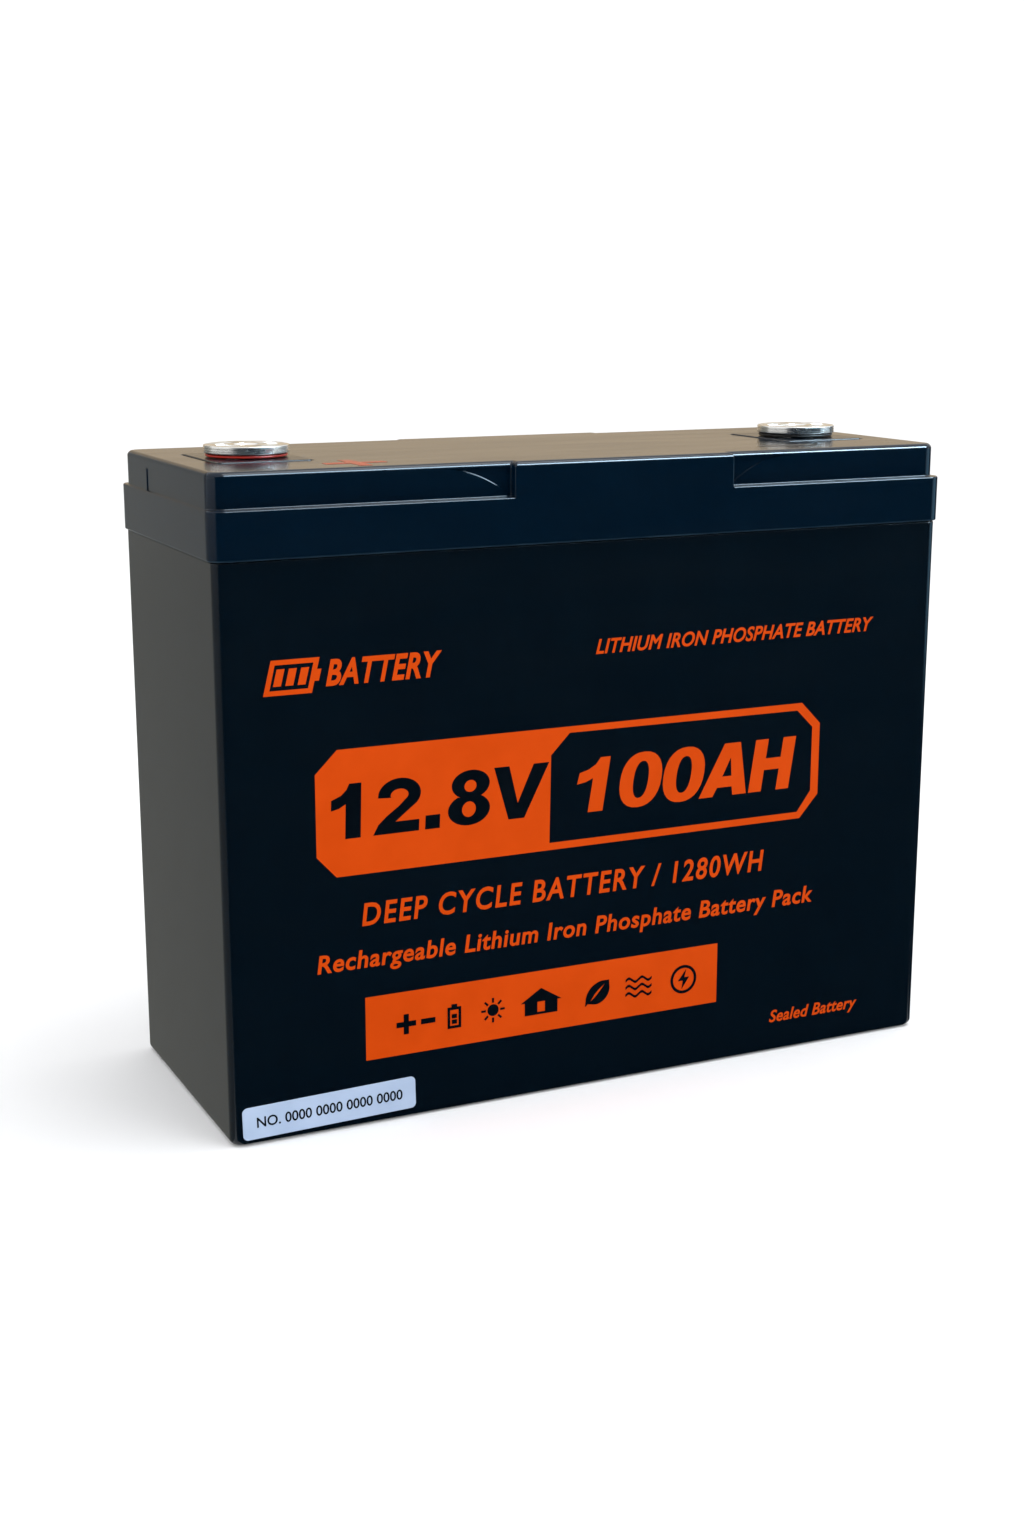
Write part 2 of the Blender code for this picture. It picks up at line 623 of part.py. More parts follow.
def z_profile(low_end, riser, high_end):
    """Side view of a strap that rises from the posts' level to the terminals' level."""
    low, high, thick = POST_BAR_Z, STRAP_Z, BAR_THICKNESS
    way = 1 if riser > low_end else -1
    return [
        (low_end, low),
        (riser + way * thick, low),
        (riser + way * thick, high),
        (high_end, high),
        (high_end, high + thick),
        (riser, high + thick),
        (riser, low + thick),
        (low_end, low + thick),
    ]


def make_straps():
    half = BAR_WIDTH / 2
    first_x, last_x = CELL_XS[0], CELL_XS[-1]
    front = -POST_FROM_MIDDLE
    strap_hole = STRAP_SCREW + 2 * GAP

    profile = z_profile(front - half, front + half, half)
    low_x = min(-TERMINAL_X, first_x) - half
    high_x = max(-TERMINAL_X, first_x) + half
    positive = finish_mesh("positive_strap", extruded(profile, "X", low_x, high_x), COPPER)
    cut_holes(positive, [(first_x, front)], STUD_HOLE, CELL_TOP_Z, NUT_Z)
    cut_holes(positive, [(-TERMINAL_X, 0)], strap_hole, BOARD_Z, SHANK_FOOT_Z)

    profile = z_profile(last_x + half, last_x - half, STRAP_ON_BOARD)
    inner_y = -BAR_WIDTH / 2 - BAR_THICKNESS
    cell_negative = finish_mesh(
        "cell_negative_strap", extruded(profile, "Y", front - half, inner_y), COPPER
    )
    cut_holes(cell_negative, [(last_x, front)], STUD_HOLE, CELL_TOP_Z, NUT_Z)

    outline = rounded_rectangle(
        (TERMINAL_X + half - STRAP_ON_BOARD) / 2, half - BAR_THICKNESS / 2, BAR_WIDTH / 8
    )
    outline = moved(outline, (TERMINAL_X + half + STRAP_ON_BOARD) / 2, 0)
    shape = loft([(outline, STRAP_Z), (outline, STRAP_Z + BAR_THICKNESS)])
    load_negative = finish_mesh("load_negative_strap", shape, COPPER)
    cut_holes(load_negative, [(TERMINAL_X, 0)], strap_hole, BOARD_Z, SHANK_FOOT_Z)


def make_post_nuts():
    for i, x in enumerate(CELL_XS):
        for end, y in (("front", -POST_FROM_MIDDLE), ("back", POST_FROM_MIDDLE)):
            flange = (FLANGE_NUT_DIAMETER, FLANGE_NUT_FLANGE)
            size = (FLANGE_NUT_THICKNESS, FLANGE_NUT_ACROSS_FLATS, STUD_HOLE, NUT_SIDES)
            make_nut(f"cell_{i + 1}_{end}_nut", x, y, NUT_Z, *size, flange)


# ---- Protection board ---------------------------------------------------------------------------
def make_tray():
    half = TRAY_DEPTH / 2
    plate = add_block(bmesh.new(), TRAY_LEFT, TRAY_RIGHT, -half, half, TRAY_Z, TRAY_Z + TRAY_THICKNESS)
    tray = finish_mesh("board_tray", plate, TRAY_ABS)
    legs = bmesh.new()
    centres = [(x, y) for x in BOARD_SCREW_XS for y in (-BOARD_SCREW_Y, BOARD_SCREW_Y)]
    for x, y in centres:
        leg = TRAY_LEG / 2
        foot = CELL_TOP_Z + GAP
        add_block(legs, x - leg, x + leg, y - leg, y + leg, foot, TRAY_Z + TRAY_THICKNESS / 2)
    join(tray, "board_tray_legs", legs)
    depth = BOARD_TOP_Z - BOARD_SCREW_REACH - GAP
    cut_holes(tray, centres, BOARD_SCREW + 2 * GAP, depth, BOARD_Z, NUT_SIDES)


def make_board():
    half = TRAY_DEPTH / 2 - BOARD_INSET
    span = (TRAY_LEFT + BOARD_INSET, TRAY_RIGHT - BOARD_INSET, -half, half)
    plate = add_block(bmesh.new(), *span, BOARD_Z, BOARD_TOP_Z)
    board = finish_mesh("protection_board", plate, CIRCUIT_BOARD)
    centres = [(x, y) for x in BOARD_SCREW_XS for y in (-BOARD_SCREW_Y, BOARD_SCREW_Y)]
    cut_holes(board, centres, BOARD_SCREW + 2 * GAP, TRAY_Z, CEILING_Z, NUT_SIDES)
    for i, (x, y) in enumerate(centres):
        size = (BOARD_SCREW, BOARD_SCREW_HEAD, BOARD_SCREW_HEAD_HEIGHT, BOARD_SCREW_REACH)
        make_screw(f"board_screw_{i + 1}", x, y, BOARD_TOP_Z + GAP, False, *size)


def make_heat_sink():
    """A comb-shaped extrusion on the board's transistors."""
    base = BOARD_TOP_Z + GAP
    half = TRAY_DEPTH / 2 - HEAT_SINK_INSET
    pitch = (2 * half - HEAT_SINK_FIN) / (HEAT_SINK_FINS - 1)
    comb = [(half, base), (-half, base)]
    for i in range(HEAT_SINK_FINS):
        start = -half + i * pitch
        end = start + HEAT_SINK_FIN
        if i:
            comb.append((start, base + HEAT_SINK_BASE))
        comb.append((start, base + HEAT_SINK_HEIGHT))
        comb.append((end, base + HEAT_SINK_HEIGHT))
        if i < HEAT_SINK_FINS - 1:
            comb.append((end, base + HEAT_SINK_BASE))
    finish_mesh("heat_sink", extruded(comb, "X", HEAT_SINK_LEFT, HEAT_SINK_RIGHT), ALUMINIUM)


def smooth_route(points, spacing):
    """Points about this far apart on one smooth curve through the route."""
    ends = [points[0]] + points + [points[-1]]
    route = []
    for a, b, c, d in zip(ends, ends[1:], ends[2:], ends[3:]):
        steps = max(1, round(math.dist(b, c) / spacing))
        for step in range(steps):
            t = step / steps
            place = []
            for p, q, r, s in zip(a, b, c, d):
                bend = (2 * p - 5 * q + 4 * r - s) * t**2 + (3 * q - p - 3 * r + s) * t**3
                place.append((2 * q + (r - p) * t + bend) / 2)
            route.append(place)
    route.append(points[-1])
    return route


def make_wire(name, points):
    curve = bpy.data.curves.new(name, "CURVE")
    curve.dimensions = "3D"
    curve.bevel_depth = WIRE_DIAMETER / 2
    curve.bevel_resolution = 2
    curve.use_fill_caps = True
    route = smooth_route(points, 3 * WIRE_DIAMETER)
    spline = curve.splines.new("POLY")
    spline.points.add(len(route) - 1)
    for point, place in zip(spline.points, route):
        point.co = (*place, 1)
    add_object(name, curve, WIRE_SILICONE)


def make_balance_wiring():
    """A four-way connector, and a sensing wire from it to each junction of the cells."""
    base = BOARD_TOP_Z + GAP
    half = CONNECTOR_DEPTH / 2
    right = CONNECTOR_LEFT + CONNECTOR_LENGTH
    shape = add_block(bmesh.new(), CONNECTOR_LEFT, right, -half, half, base, base + CONNECTOR_HEIGHT)
    finish_mesh("balance_connector", shape, WHITE_NYLON)

    start_x = CONNECTOR_LEFT - GAP
    pin_z = base + CONNECTOR_HEIGHT / 2
    bar_top = POST_BAR_Z + BAR_THICKNESS + GAP
    strap_top = STRAP_Z + BAR_THICKNESS + GAP
    over_studs = CELL_TOP_Z + STUD_HEIGHT + 2 * WIRE_DIAMETER
    turn_x = TRAY_LEFT - 0.006
    lane_y = POST_FROM_MIDDLE - 2 * WIRE_DIAMETER
    drop = 3 * WIRE_DIAMETER
    middles = [(x + after) / 2 for x, after in zip(CELL_XS, CELL_XS[1:])]
    strap_x = CELL_XS[0] + BAR_WIDTH / 4
    front_pin = -1.5 * PIN_PITCH
    back_pin = 1.5 * PIN_PITCH
    make_wire(
        "balance_wire_cell_1",
        [
            (start_x, front_pin + PIN_PITCH, pin_z),
            (turn_x, front_pin + PIN_PITCH / 2, pin_z),
            ((turn_x + strap_x) / 2, -BAR_WIDTH / 5, pin_z + WIRE_DIAMETER),
            (strap_x + WIRE_DIAMETER, -BAR_WIDTH / 4, strap_top + drop),
            (strap_x, -BAR_WIDTH / 4, strap_top),
        ],
    )
    make_wire(
        "balance_wire_cells_1_2",
        [
            (start_x, back_pin - PIN_PITCH, pin_z),
            (turn_x, back_pin - PIN_PITCH / 2, pin_z),
            (middles[0] + WIRE_DIAMETER, lane_y / 2, over_studs + drop),
            (middles[0], lane_y, over_studs),
            (middles[0], POST_FROM_MIDDLE, bar_top + drop),
            (middles[0], POST_FROM_MIDDLE, bar_top),
        ],
    )
    make_wire(
        "balance_wire_cells_2_3",
        [
            (start_x, front_pin, pin_z),
            (turn_x + WIRE_DIAMETER, front_pin - PIN_PITCH, pin_z),
            (turn_x + WIRE_DIAMETER, -TRAY_DEPTH / 2, over_studs + drop),
            (TRAY_LEFT + drop, -lane_y, over_studs),
            ((TRAY_LEFT + middles[1]) / 2, -lane_y, over_studs),
            (middles[1] - drop, -lane_y, over_studs),
            (middles[1], -POST_FROM_MIDDLE, bar_top + drop),
            (middles[1], -POST_FROM_MIDDLE, bar_top),
        ],
    )
    make_wire(
        "balance_wire_cells_3_4",
        [
            (start_x, back_pin, pin_z),
            (turn_x + WIRE_DIAMETER, back_pin + PIN_PITCH, pin_z),
            (turn_x + WIRE_DIAMETER, TRAY_DEPTH / 2, over_studs + drop),
            (TRAY_LEFT + drop, lane_y, over_studs),
            (middles[1], lane_y, over_studs),
            (middles[2] - 2 * drop, lane_y, over_studs),
            (middles[2], POST_FROM_MIDDLE, bar_top + drop),
            (middles[2], POST_FROM_MIDDLE, bar_top),
        ],
    )


# ---- Serial label -------------------------------------------------------------------------------
def make_label():
    outline = rounded_rectangle(LABEL_LENGTH / 2, LABEL_HEIGHT / 2, LABEL_CORNER, 3)
    cos, sin = math.cos(LABEL_TILT), math.sin(LABEL_TILT)
    centre_x = -HALF_LENGTH + LABEL_FROM_LEFT
    turned_outline = []
    for x, z in outline:
        turned_outline.append((centre_x + x * cos - z * sin, LABEL_RISE + x * sin + z * cos))
    back = -BODY_HALF_DEPTH - GAP
    finish_mesh("serial_label", extruded(turned_outline, "Y", back - LABEL_THICKNESS, back), LABEL_FILM)


# ---- Assembly -----------------------------------------------------------------------------------
make_container()
make_lid()
for pole, place, ring_finish in (
    ("positive", -TERMINAL_X, RED_RUBBER),
    ("negative", TERMINAL_X, BLACK_RUBBER),
):
    make_seat(f"{pole}_seat", place)
    make_gasket(f"{pole}_gasket", place, ring_finish)
    make_terminal(f"{pole}_terminal", place)
    nut_size = (LOCK_NUT_THICKNESS, LOCK_NUT_ACROSS_FLATS, TERMINAL_SHANK + 2 * GAP, 24)
    make_nut(f"{pole}_lock_nut", place, 0, LOCK_NUT_TOP_Z - LOCK_NUT_THICKNESS, *nut_size)
    thread = STRAP_SCREW_REACH + BAR_THICKNESS + GAP
    screw_size = (STRAP_SCREW, STRAP_SCREW_HEAD, STRAP_SCREW_HEAD_HEIGHT, thread)
    make_screw(f"{pole}_strap_screw", place, 0, STRAP_Z - GAP, True, *screw_size)
make_cell_stack()
make_busbars()
make_straps()
make_post_nuts()
make_tray()
make_board()
make_heat_sink()
make_balance_wiring()
make_label()
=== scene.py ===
import math

import bmesh
import bpy
from mathutils import Matrix, Vector


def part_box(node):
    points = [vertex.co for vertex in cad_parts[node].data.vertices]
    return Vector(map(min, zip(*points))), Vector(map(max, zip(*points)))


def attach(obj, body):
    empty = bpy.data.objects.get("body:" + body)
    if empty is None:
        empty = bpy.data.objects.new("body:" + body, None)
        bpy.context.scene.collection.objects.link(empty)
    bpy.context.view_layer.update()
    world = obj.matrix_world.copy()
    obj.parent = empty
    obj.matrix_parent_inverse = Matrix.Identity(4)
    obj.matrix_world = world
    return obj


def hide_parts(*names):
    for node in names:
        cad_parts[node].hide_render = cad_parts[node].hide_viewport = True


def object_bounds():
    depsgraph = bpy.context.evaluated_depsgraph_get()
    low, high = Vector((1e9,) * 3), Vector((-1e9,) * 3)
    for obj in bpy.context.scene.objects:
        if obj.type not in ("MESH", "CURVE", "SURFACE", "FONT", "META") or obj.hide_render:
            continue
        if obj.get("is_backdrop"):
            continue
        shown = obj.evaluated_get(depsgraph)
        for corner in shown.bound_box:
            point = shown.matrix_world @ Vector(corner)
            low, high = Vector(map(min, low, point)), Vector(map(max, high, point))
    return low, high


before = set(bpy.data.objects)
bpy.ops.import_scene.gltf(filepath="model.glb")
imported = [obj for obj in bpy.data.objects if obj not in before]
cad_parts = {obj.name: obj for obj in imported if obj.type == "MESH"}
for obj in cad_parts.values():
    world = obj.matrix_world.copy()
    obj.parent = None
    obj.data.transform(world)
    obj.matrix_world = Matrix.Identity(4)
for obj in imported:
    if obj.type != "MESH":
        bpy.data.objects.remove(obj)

frame_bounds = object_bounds()
scene = bpy.context.scene


# ---- Camera -------------------------------------------------------------------------------------
# A standing viewer's look at the pack: a little above the lid, from the front's left, with a
# normal lens. The long side of the frame is the sensor's 36 mm.
VIEW_TARGET = Vector((-0.0095, 0.0, 0.0999))
VIEW_AZIMUTH = math.radians(-25.24)
VIEW_ELEVATION = math.radians(13.41)
VIEW_DISTANCE = 0.7144
LENS = 48.36
SENSOR = 36
NEAREST = 0.02

backwards = math.cos(VIEW_ELEVATION) * Vector((math.sin(VIEW_AZIMUTH), -math.cos(VIEW_AZIMUTH), 0))
backwards.z = math.sin(VIEW_ELEVATION)
camera = bpy.data.objects.new("camera", bpy.data.cameras.new("camera"))
camera.data.lens = LENS
camera.data.sensor_width = SENSOR
camera.data.clip_start = NEAREST
camera.location = VIEW_TARGET + VIEW_DISTANCE * backwards
camera.rotation_euler = backwards.to_track_quat("Z", "Y").to_euler()
scene.collection.objects.link(camera)
bpy.context.scene.camera = camera
scene.view_settings.view_transform = "Standard"


# ---- Studio -------------------------------------------------------------------------------------
# A pale floor that sweeps up into a round wall, an open white sky, and one large soft box overhead.
# Cards that only reflections see lie and stand round the pack, as on a product table.
FLOOR_RADIUS = 2.2
FLOOR_SIDES = 96
FLOOR_GLOW = 0.09
SWEEP_RADIUS = 1.2
SWEEP_STEPS = 12
WALL_TOP = 2.6
SKY_STRENGTH = 1.2
CARD_LIFT = 0.0006
DARK_GLOW = 0.012


def start_material(name, colour, roughness, metallic=0.0, gloss=0.5):
    """A Principled material: its node tree, its shader and the piece's own coordinates."""
    made = bpy.data.materials.new(name)
    made.use_nodes = True
    made.diffuse_color = (*colour, 1)
    shader = made.node_tree.nodes["Principled BSDF"]
    shader.inputs["Base Color"].default_value = (*colour, 1)
    shader.inputs["Roughness"].default_value = roughness
    shader.inputs["Metallic"].default_value = metallic
    shader.inputs["Specular IOR Level"].default_value = gloss
    place = made.node_tree.nodes.new("ShaderNodeTexCoord").outputs["Object"]
    return made, made.node_tree, shader, place


def clouds(tree, place, scale, detail=2.0, stretch=(1, 1, 1)):
    """A soft random pattern with this many features to the metre."""
    mapping = tree.nodes.new("ShaderNodeMapping")
    mapping.inputs["Scale"].default_value = stretch
    noise = tree.nodes.new("ShaderNodeTexNoise")
    noise.inputs["Scale"].default_value = scale
    noise.inputs["Detail"].default_value = detail
    tree.links.new(place, mapping.inputs["Vector"])
    tree.links.new(mapping.outputs["Vector"], noise.inputs["Vector"])
    return noise.outputs["Fac"]


def between(tree, pattern, low, high, start=0.35, end=0.65):
    """Turns a pattern into numbers from low to high."""
    spread = tree.nodes.new("ShaderNodeMapRange")
    spread.inputs["From Min"].default_value = start
    spread.inputs["From Max"].default_value = end
    spread.inputs["To Min"].default_value = low
    spread.inputs["To Max"].default_value = high
    tree.links.new(pattern, spread.inputs["Value"])
    return spread.outputs["Result"]


def shades(tree, pattern, dark, light, start=0.35, end=0.65):
    """Turns a pattern into colours from dark to light."""
    ramp = tree.nodes.new("ShaderNodeValToRGB")
    first, last = ramp.color_ramp.elements
    first.position, first.color = start, (*dark, 1)
    last.position, last.color = end, (*light, 1)
    tree.links.new(pattern, ramp.inputs["Fac"])
    return ramp.outputs["Color"]


def turned(profile, sides):
    """Turns a profile of (radius, z) round the Z axis. A radius of 0 is a point on it, and a profile
    that starts off the axis is closed into a ring."""
    shape = bmesh.new()
    rows = []
    for radius, z in profile:
        count = sides if radius > 0 else 1
        turns = [2 * math.pi * i / sides for i in range(count)]
        rows.append([shape.verts.new((radius * math.cos(a), radius * math.sin(a), z)) for a in turns])
    pairs = list(zip(rows, rows[1:]))
    if profile[0][0] > 0:
        pairs.append((rows[-1], rows[0]))
    for low, high in pairs:
        for i in range(sides):
            j = (i + 1) % sides
            if len(low) == 1:
                shape.faces.new((low[0], high[i], high[j]))
            elif len(high) == 1:
                shape.faces.new((low[i], low[j], high[0]))
            else:
                shape.faces.new((low[i], low[j], high[j], high[i]))
    return shape


def make_piece(name, shape, finish):
    """Turns a shape into an object, with its doubled corners merged and its faces outwards."""
    bmesh.ops.remove_doubles(shape, verts=shape.verts[:], dist=1e-7)
    bmesh.ops.recalc_face_normals(shape, faces=shape.faces[:])
    mesh = bpy.data.meshes.new(name)
    shape.to_mesh(mesh)
    shape.free()
    mesh.materials.append(finish)
    piece = bpy.data.objects.new(name, mesh)
    scene.collection.objects.link(piece)
    return piece


floor_paint, tree, shader, place = start_material("studio_floor", (0.86, 0.86, 0.86), 0.9, gloss=0.1)
shader.inputs["Emission Color"].default_value = (1, 1, 1, 1)
shader.inputs["Emission Strength"].default_value = FLOOR_GLOW
wear = shades(tree, clouds(tree, place, 3.0), (0.84, 0.84, 0.84), (0.88, 0.88, 0.88), 0, 1)
tree.links.new(wear, shader.inputs["Base Color"])
profile = [(0.0, 0.0), (0.5, 0.0), (FLOOR_RADIUS, 0.0)]
for step in range(1, SWEEP_STEPS + 1):
    angle = math.radians(90 * step / SWEEP_STEPS)
    profile.append((FLOOR_RADIUS + SWEEP_RADIUS * math.sin(angle), SWEEP_RADIUS * (1 - math.cos(angle))))
profile.append((FLOOR_RADIUS + SWEEP_RADIUS, WALL_TOP))
floor = make_piece("floor", turned(profile, FLOOR_SIDES), floor_paint)
floor.data.shade_smooth()
floor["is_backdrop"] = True

sky = bpy.data.worlds.new("sky")
sky.use_nodes = True
sky.node_tree.nodes["Background"].inputs["Color"].default_value = (0.98, 0.985, 1.0, 1)
sky.node_tree.nodes["Background"].inputs["Strength"].default_value = SKY_STRENGTH
scene.world = sky

lamp = bpy.data.lights.new("overhead_box", "AREA")
lamp.shape = "RECTANGLE"
lamp.size = 0.9
lamp.size_y = 0.6
lamp.energy = 8.0
lamp.color = (0.95, 0.97, 1.0)
soft_box = bpy.data.objects.new("overhead_box", lamp)
soft_box.location = (0.35, -0.30, 1.35)
soft_box.rotation_euler = (soft_box.location - Vector((0, 0, 0.1))).to_track_quat("Z", "Y").to_euler()
scene.collection.objects.link(soft_box)


def lying(*plan):
    """Corners of a card that lies just above the floor."""
    return [(x, y, CARD_LIFT) for x, y in plan]


def standing(start, end, low, high, lean=0.0):
    """Corners of an upright card between two places, whose top leans over by this much in Y."""
    (x0, y0), (x1, y1) = start, end
    return [(x0, y0, low), (x1, y1, low), (x1, y1 + lean, high), (x0, y0 + lean, high)]


def reflection_card(name, colour, glow, corners, far_glow=None):
    """A flat card that only mirror-like surfaces see: it lights nothing and casts no shadow. Its glow
    may change along X, from its first corner to its second."""
    paint, tree, shader, place = start_material(name, (0, 0, 0), 0.5, gloss=0)
    shader.inputs["Emission Color"].default_value = (*colour, 1)
    shader.inputs["Emission Strength"].default_value = glow
    if far_glow is not None:
        split = tree.nodes.new("ShaderNodeSeparateXYZ")
        tree.links.new(place, split.inputs["Vector"])
        fade = between(tree, split.outputs["X"], glow, far_glow, corners[0][0], corners[1][0])
        tree.links.new(fade, shader.inputs["Emission Strength"])
    mesh = bpy.data.meshes.new(name)
    mesh.from_pydata(corners, [], [(0, 1, 2, 3)])
    mesh.materials.append(paint)
    card = bpy.data.objects.new(name, mesh)
    card.visible_camera = False
    card.visible_diffuse = False
    card.visible_shadow = False
    card.visible_transmission = False
    scene.collection.objects.link(card)
    card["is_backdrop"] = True


navy = (0, 0.3, 1.0)
dusk = (0.35, 0.35, 0.32)
for name, corners in (
    ("dark_table", lying((-0.125, -0.0482), (0.125, -0.0482), (2.4, -1.5), (-2.4, -1.5))),
    ("dark_wall", standing((-2.2, -1.5), (2.2, -1.5), 0, 1.1)),
    ("side_table", lying((0.129, -0.0465), (1.5, -0.92), (0.7, 1.3), (0.129, 0.0465))),
    ("side_wall", standing((0.8, -0.05), (0.75, 0.45), 0, 0.30)),
    ("side_sill", standing((0.75, 0.45), (0.55, 1.3), 0, 0.17)),
):
    reflection_card(name, navy, DARK_GLOW, corners)
reflection_card("grey_table", dusk, 1.0, lying((-0.129, -0.0465), (-0.129, 1.4), (-2.2, 1.4), (-2.2, -1.35)))
reflection_card("grey_wall", dusk, 1.0, standing((-2.0, 1.38), (-0.3, 1.38), 0, 1.2, 0.12))
reflection_card("warm_wall", (0.66, 0.53, 0.37), 1.0, standing((-0.3, 1.4), (2.0, 1.4), 0.10, 1.2, 0.3))
reflection_card("edge_strip", (0.60, 0.82, 1.0), 8, standing((0.1, -1.2), (1.8, -1.2), 1.0, 1.55, 0.1), 120)
reflection_card("cool_side", (0.35, 0.70, 1.0), 1.6, standing((0.9, -0.62), (0.8, -0.05), 0, 0.17))


# ---- Container ----------------------------------------------------------------------------------
# The lower half of the case: a deep box moulded in near-black navy ABS with a rounded foot, upright
# corners and a thinner rim that the lid drops over. Skinned from level outlines, inside and out.
WALL = 0.0035
CONTAINER_CORNER = 0.0035
FOOT_RADIUS = 0.0025
LIP_RADIUS = 0.0004
SKIRT_WALL = 0.0022
CORNER_STEPS = 12
GAP = 0.0003

body_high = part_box("case_container")[1]
lid_low, lid_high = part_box("case_lid")


def rounded_outline(half_x, half_y, radius, steps=CORNER_STEPS):
    """A rectangle with round corners, anticlockwise from the front right corner."""
    points = []
    for quarter, (side_x, side_y) in enumerate(((1, -1), (1, 1), (-1, 1), (-1, -1))):
        for step in range(steps + 1):
            angle = math.radians(90 * (quarter - 1 + step / steps))
            x = side_x * (half_x - radius) + radius * math.cos(angle)
            y = side_y * (half_y - radius) + radius * math.sin(angle)
            points.append((x, y))
    return points


def bridged(rows):
    """A closed shape through rings of points, with its first and last ring capped."""
    shape = bmesh.new()
    rings = [[shape.verts.new(point) for point in row] for row in rows]
    for low, high in zip(rings, rings[1:]):
        for i in range(len(low)):
            j = (i + 1) % len(low)
            shape.faces.new((low[i], low[j], high[j], high[i]))
    shape.faces.new(rings[0][::-1])
    shape.faces.new(rings[-1])
    return shape


def skinned(levels):
    """A closed shape through level outlines of (points, z)."""
    return bridged([[(x, y, z) for x, y in outline] for outline, z in levels])


def rounding(radius, steps):
    """Offsets round a quarter turn: how far in, and how far along, from the edge that it rounds."""
    angles = [math.radians(90 * step / steps) for step in range(steps + 1)]
    return [(radius * (1 - math.sin(a)), radius * (1 - math.cos(a))) for a in angles]


def mount(piece):
    """Fixes a piece to the pack's one body."""
    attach(piece, "root")


def fit_to_pack(piece, node, sharp=35):
    """Shades a finished piece evenly and fixes it to the pack in place of its plain solids."""
    piece.data.shade_smooth()
    piece.data.set_sharp_from_angle(angle=math.radians(sharp))
    even = piece.modifiers.new("even_shading", "WEIGHTED_NORMAL")
    even.keep_sharp = True
    mount(piece)
    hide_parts(node)


def relief(tree, shader, pattern, depth, under=None):
    """Raises the surface by a pattern, on top of another relief if there is one."""
    bump = tree.nodes.new("ShaderNodeBump")
    bump.inputs["Strength"].default_value = 1.0
    bump.inputs["Distance"].default_value = depth
    tree.links.new(pattern, bump.inputs["Height"])
    if under:
        tree.links.new(under, bump.inputs["Normal"])
    tree.links.new(bump.outputs["Normal"], shader.inputs["Normal"])
    return bump.outputs["Normal"]


def moulded_plastic(name, dark, light, smooth, rough, gloss=0.5, grain=0.000002, waves=0.00002):
    """Moulded plastic: fine spark-eroded grain over faint sink waves, and flow streaks in its sheen."""
    made, tree, shader, place = start_material(name, light, rough, gloss=gloss)
    mottle = clouds(tree, place, 90, 5.0, (1, 1, 0.6))
    tree.links.new(shades(tree, mottle, dark, light, 0.2, 0.8), shader.inputs["Base Color"])
    streaks = clouds(tree, place, 120, 6.0, (0.15, 1, 1))
    tree.links.new(between(tree, streaks, smooth, rough, 0.2, 0.8), shader.inputs["Roughness"])
    sink = relief(tree, shader, clouds(tree, place, 16, 1.0), waves)
    relief(tree, shader, clouds(tree, place, 1900, 3.0), grain, sink)
    return made


container_abs = moulded_plastic(
    "container_abs", (0.0002, 0.0034, 0.0075), (0.0004, 0.0044, 0.0092), 0.17, 0.23, gloss=0.33
)
half_x = body_high.x
half_y = body_high.y
skirt_foot = lid_low.z
shoulder = skirt_foot - GAP
levels = []
for inset, rise in rounding(FOOT_RADIUS, 8):
    levels.append((rounded_outline(half_x - inset, half_y - inset, CONTAINER_CORNER), rise))
for inset, drop in reversed(rounding(LIP_RADIUS, 3)):
    outline = rounded_outline(half_x - inset, half_y - inset, CONTAINER_CORNER - inset)
    levels.append((outline, shoulder - drop))
rim = rounded_outline(lid_high.x - SKIRT_WALL - GAP, lid_high.y - SKIRT_WALL - GAP, CONTAINER_CORNER)
inside = rounded_outline(half_x - WALL, half_y - WALL, CONTAINER_CORNER / 2)
levels += [(rim, shoulder), (rim, body_high.z), (inside, body_high.z), (inside, WALL)]
container = make_piece("container_shell", skinned(levels), container_abs)
fit_to_pack(container, "case_container")


# ---- Lid ----------------------------------------------------------------------------------------
# The upper half: a skirt that stands a millimetre proud of the container, and a raised block with
# finger ledges cut into both long sides. It is moulded in one piece and bonded on.
BLOCK_HEIGHT = 0.011
PLATE = 0.003
LID_CORNER = 0.005
SKIRT_EDGE = 0.0004
LEDGE_EDGE = 0.0005
LEDGE_FILLET = 0.0004
TOP_RADIUS = 0.0018
TOP_BORDER = 0.0004
GRIP_DEPTH = 0.003
GRIP_LEFT_LENGTH = 0.098
GRIP_RIGHT_LENGTH = 0.083
GRIP_INNER_RADIUS = 0.0005
GRIP_OUTER_RADIUS = 0.0006
GRIP_STEPS = 6
GRIP_DRAFT = 0.00015
SCOOP_DEPTH = 0.0006
SCOOP_SLOPE = 0.00035
SCOOP_RADIUS = 0.037
SCOOP_STEPS = 24
RIB_WIDTH = 0.003
RIB_PROUD = 0.0003
RIB_HEIGHT = 0.007
RIB_Y = 0.0205
SEAT_POCKET = 0.001
SEAT_CORNER = 0.0015
POCKET_CHAMFER = 0.0005
SHANK = 0.016

lid_abs = moulded_plastic(
    "lid_abs", (0.0001, 0.0054, 0.0136), (0.0003, 0.0068, 0.0168), 0.12, 0.19, gloss=0.30
)
half_length = lid_high.x
half_depth = lid_high.y
lid_top = lid_high.z
ledge = lid_top - BLOCK_HEIGHT
overhang = half_length - body_high.x
grip_ends = (-half_length + GRIP_LEFT_LENGTH, half_length - GRIP_RIGHT_LENGTH)


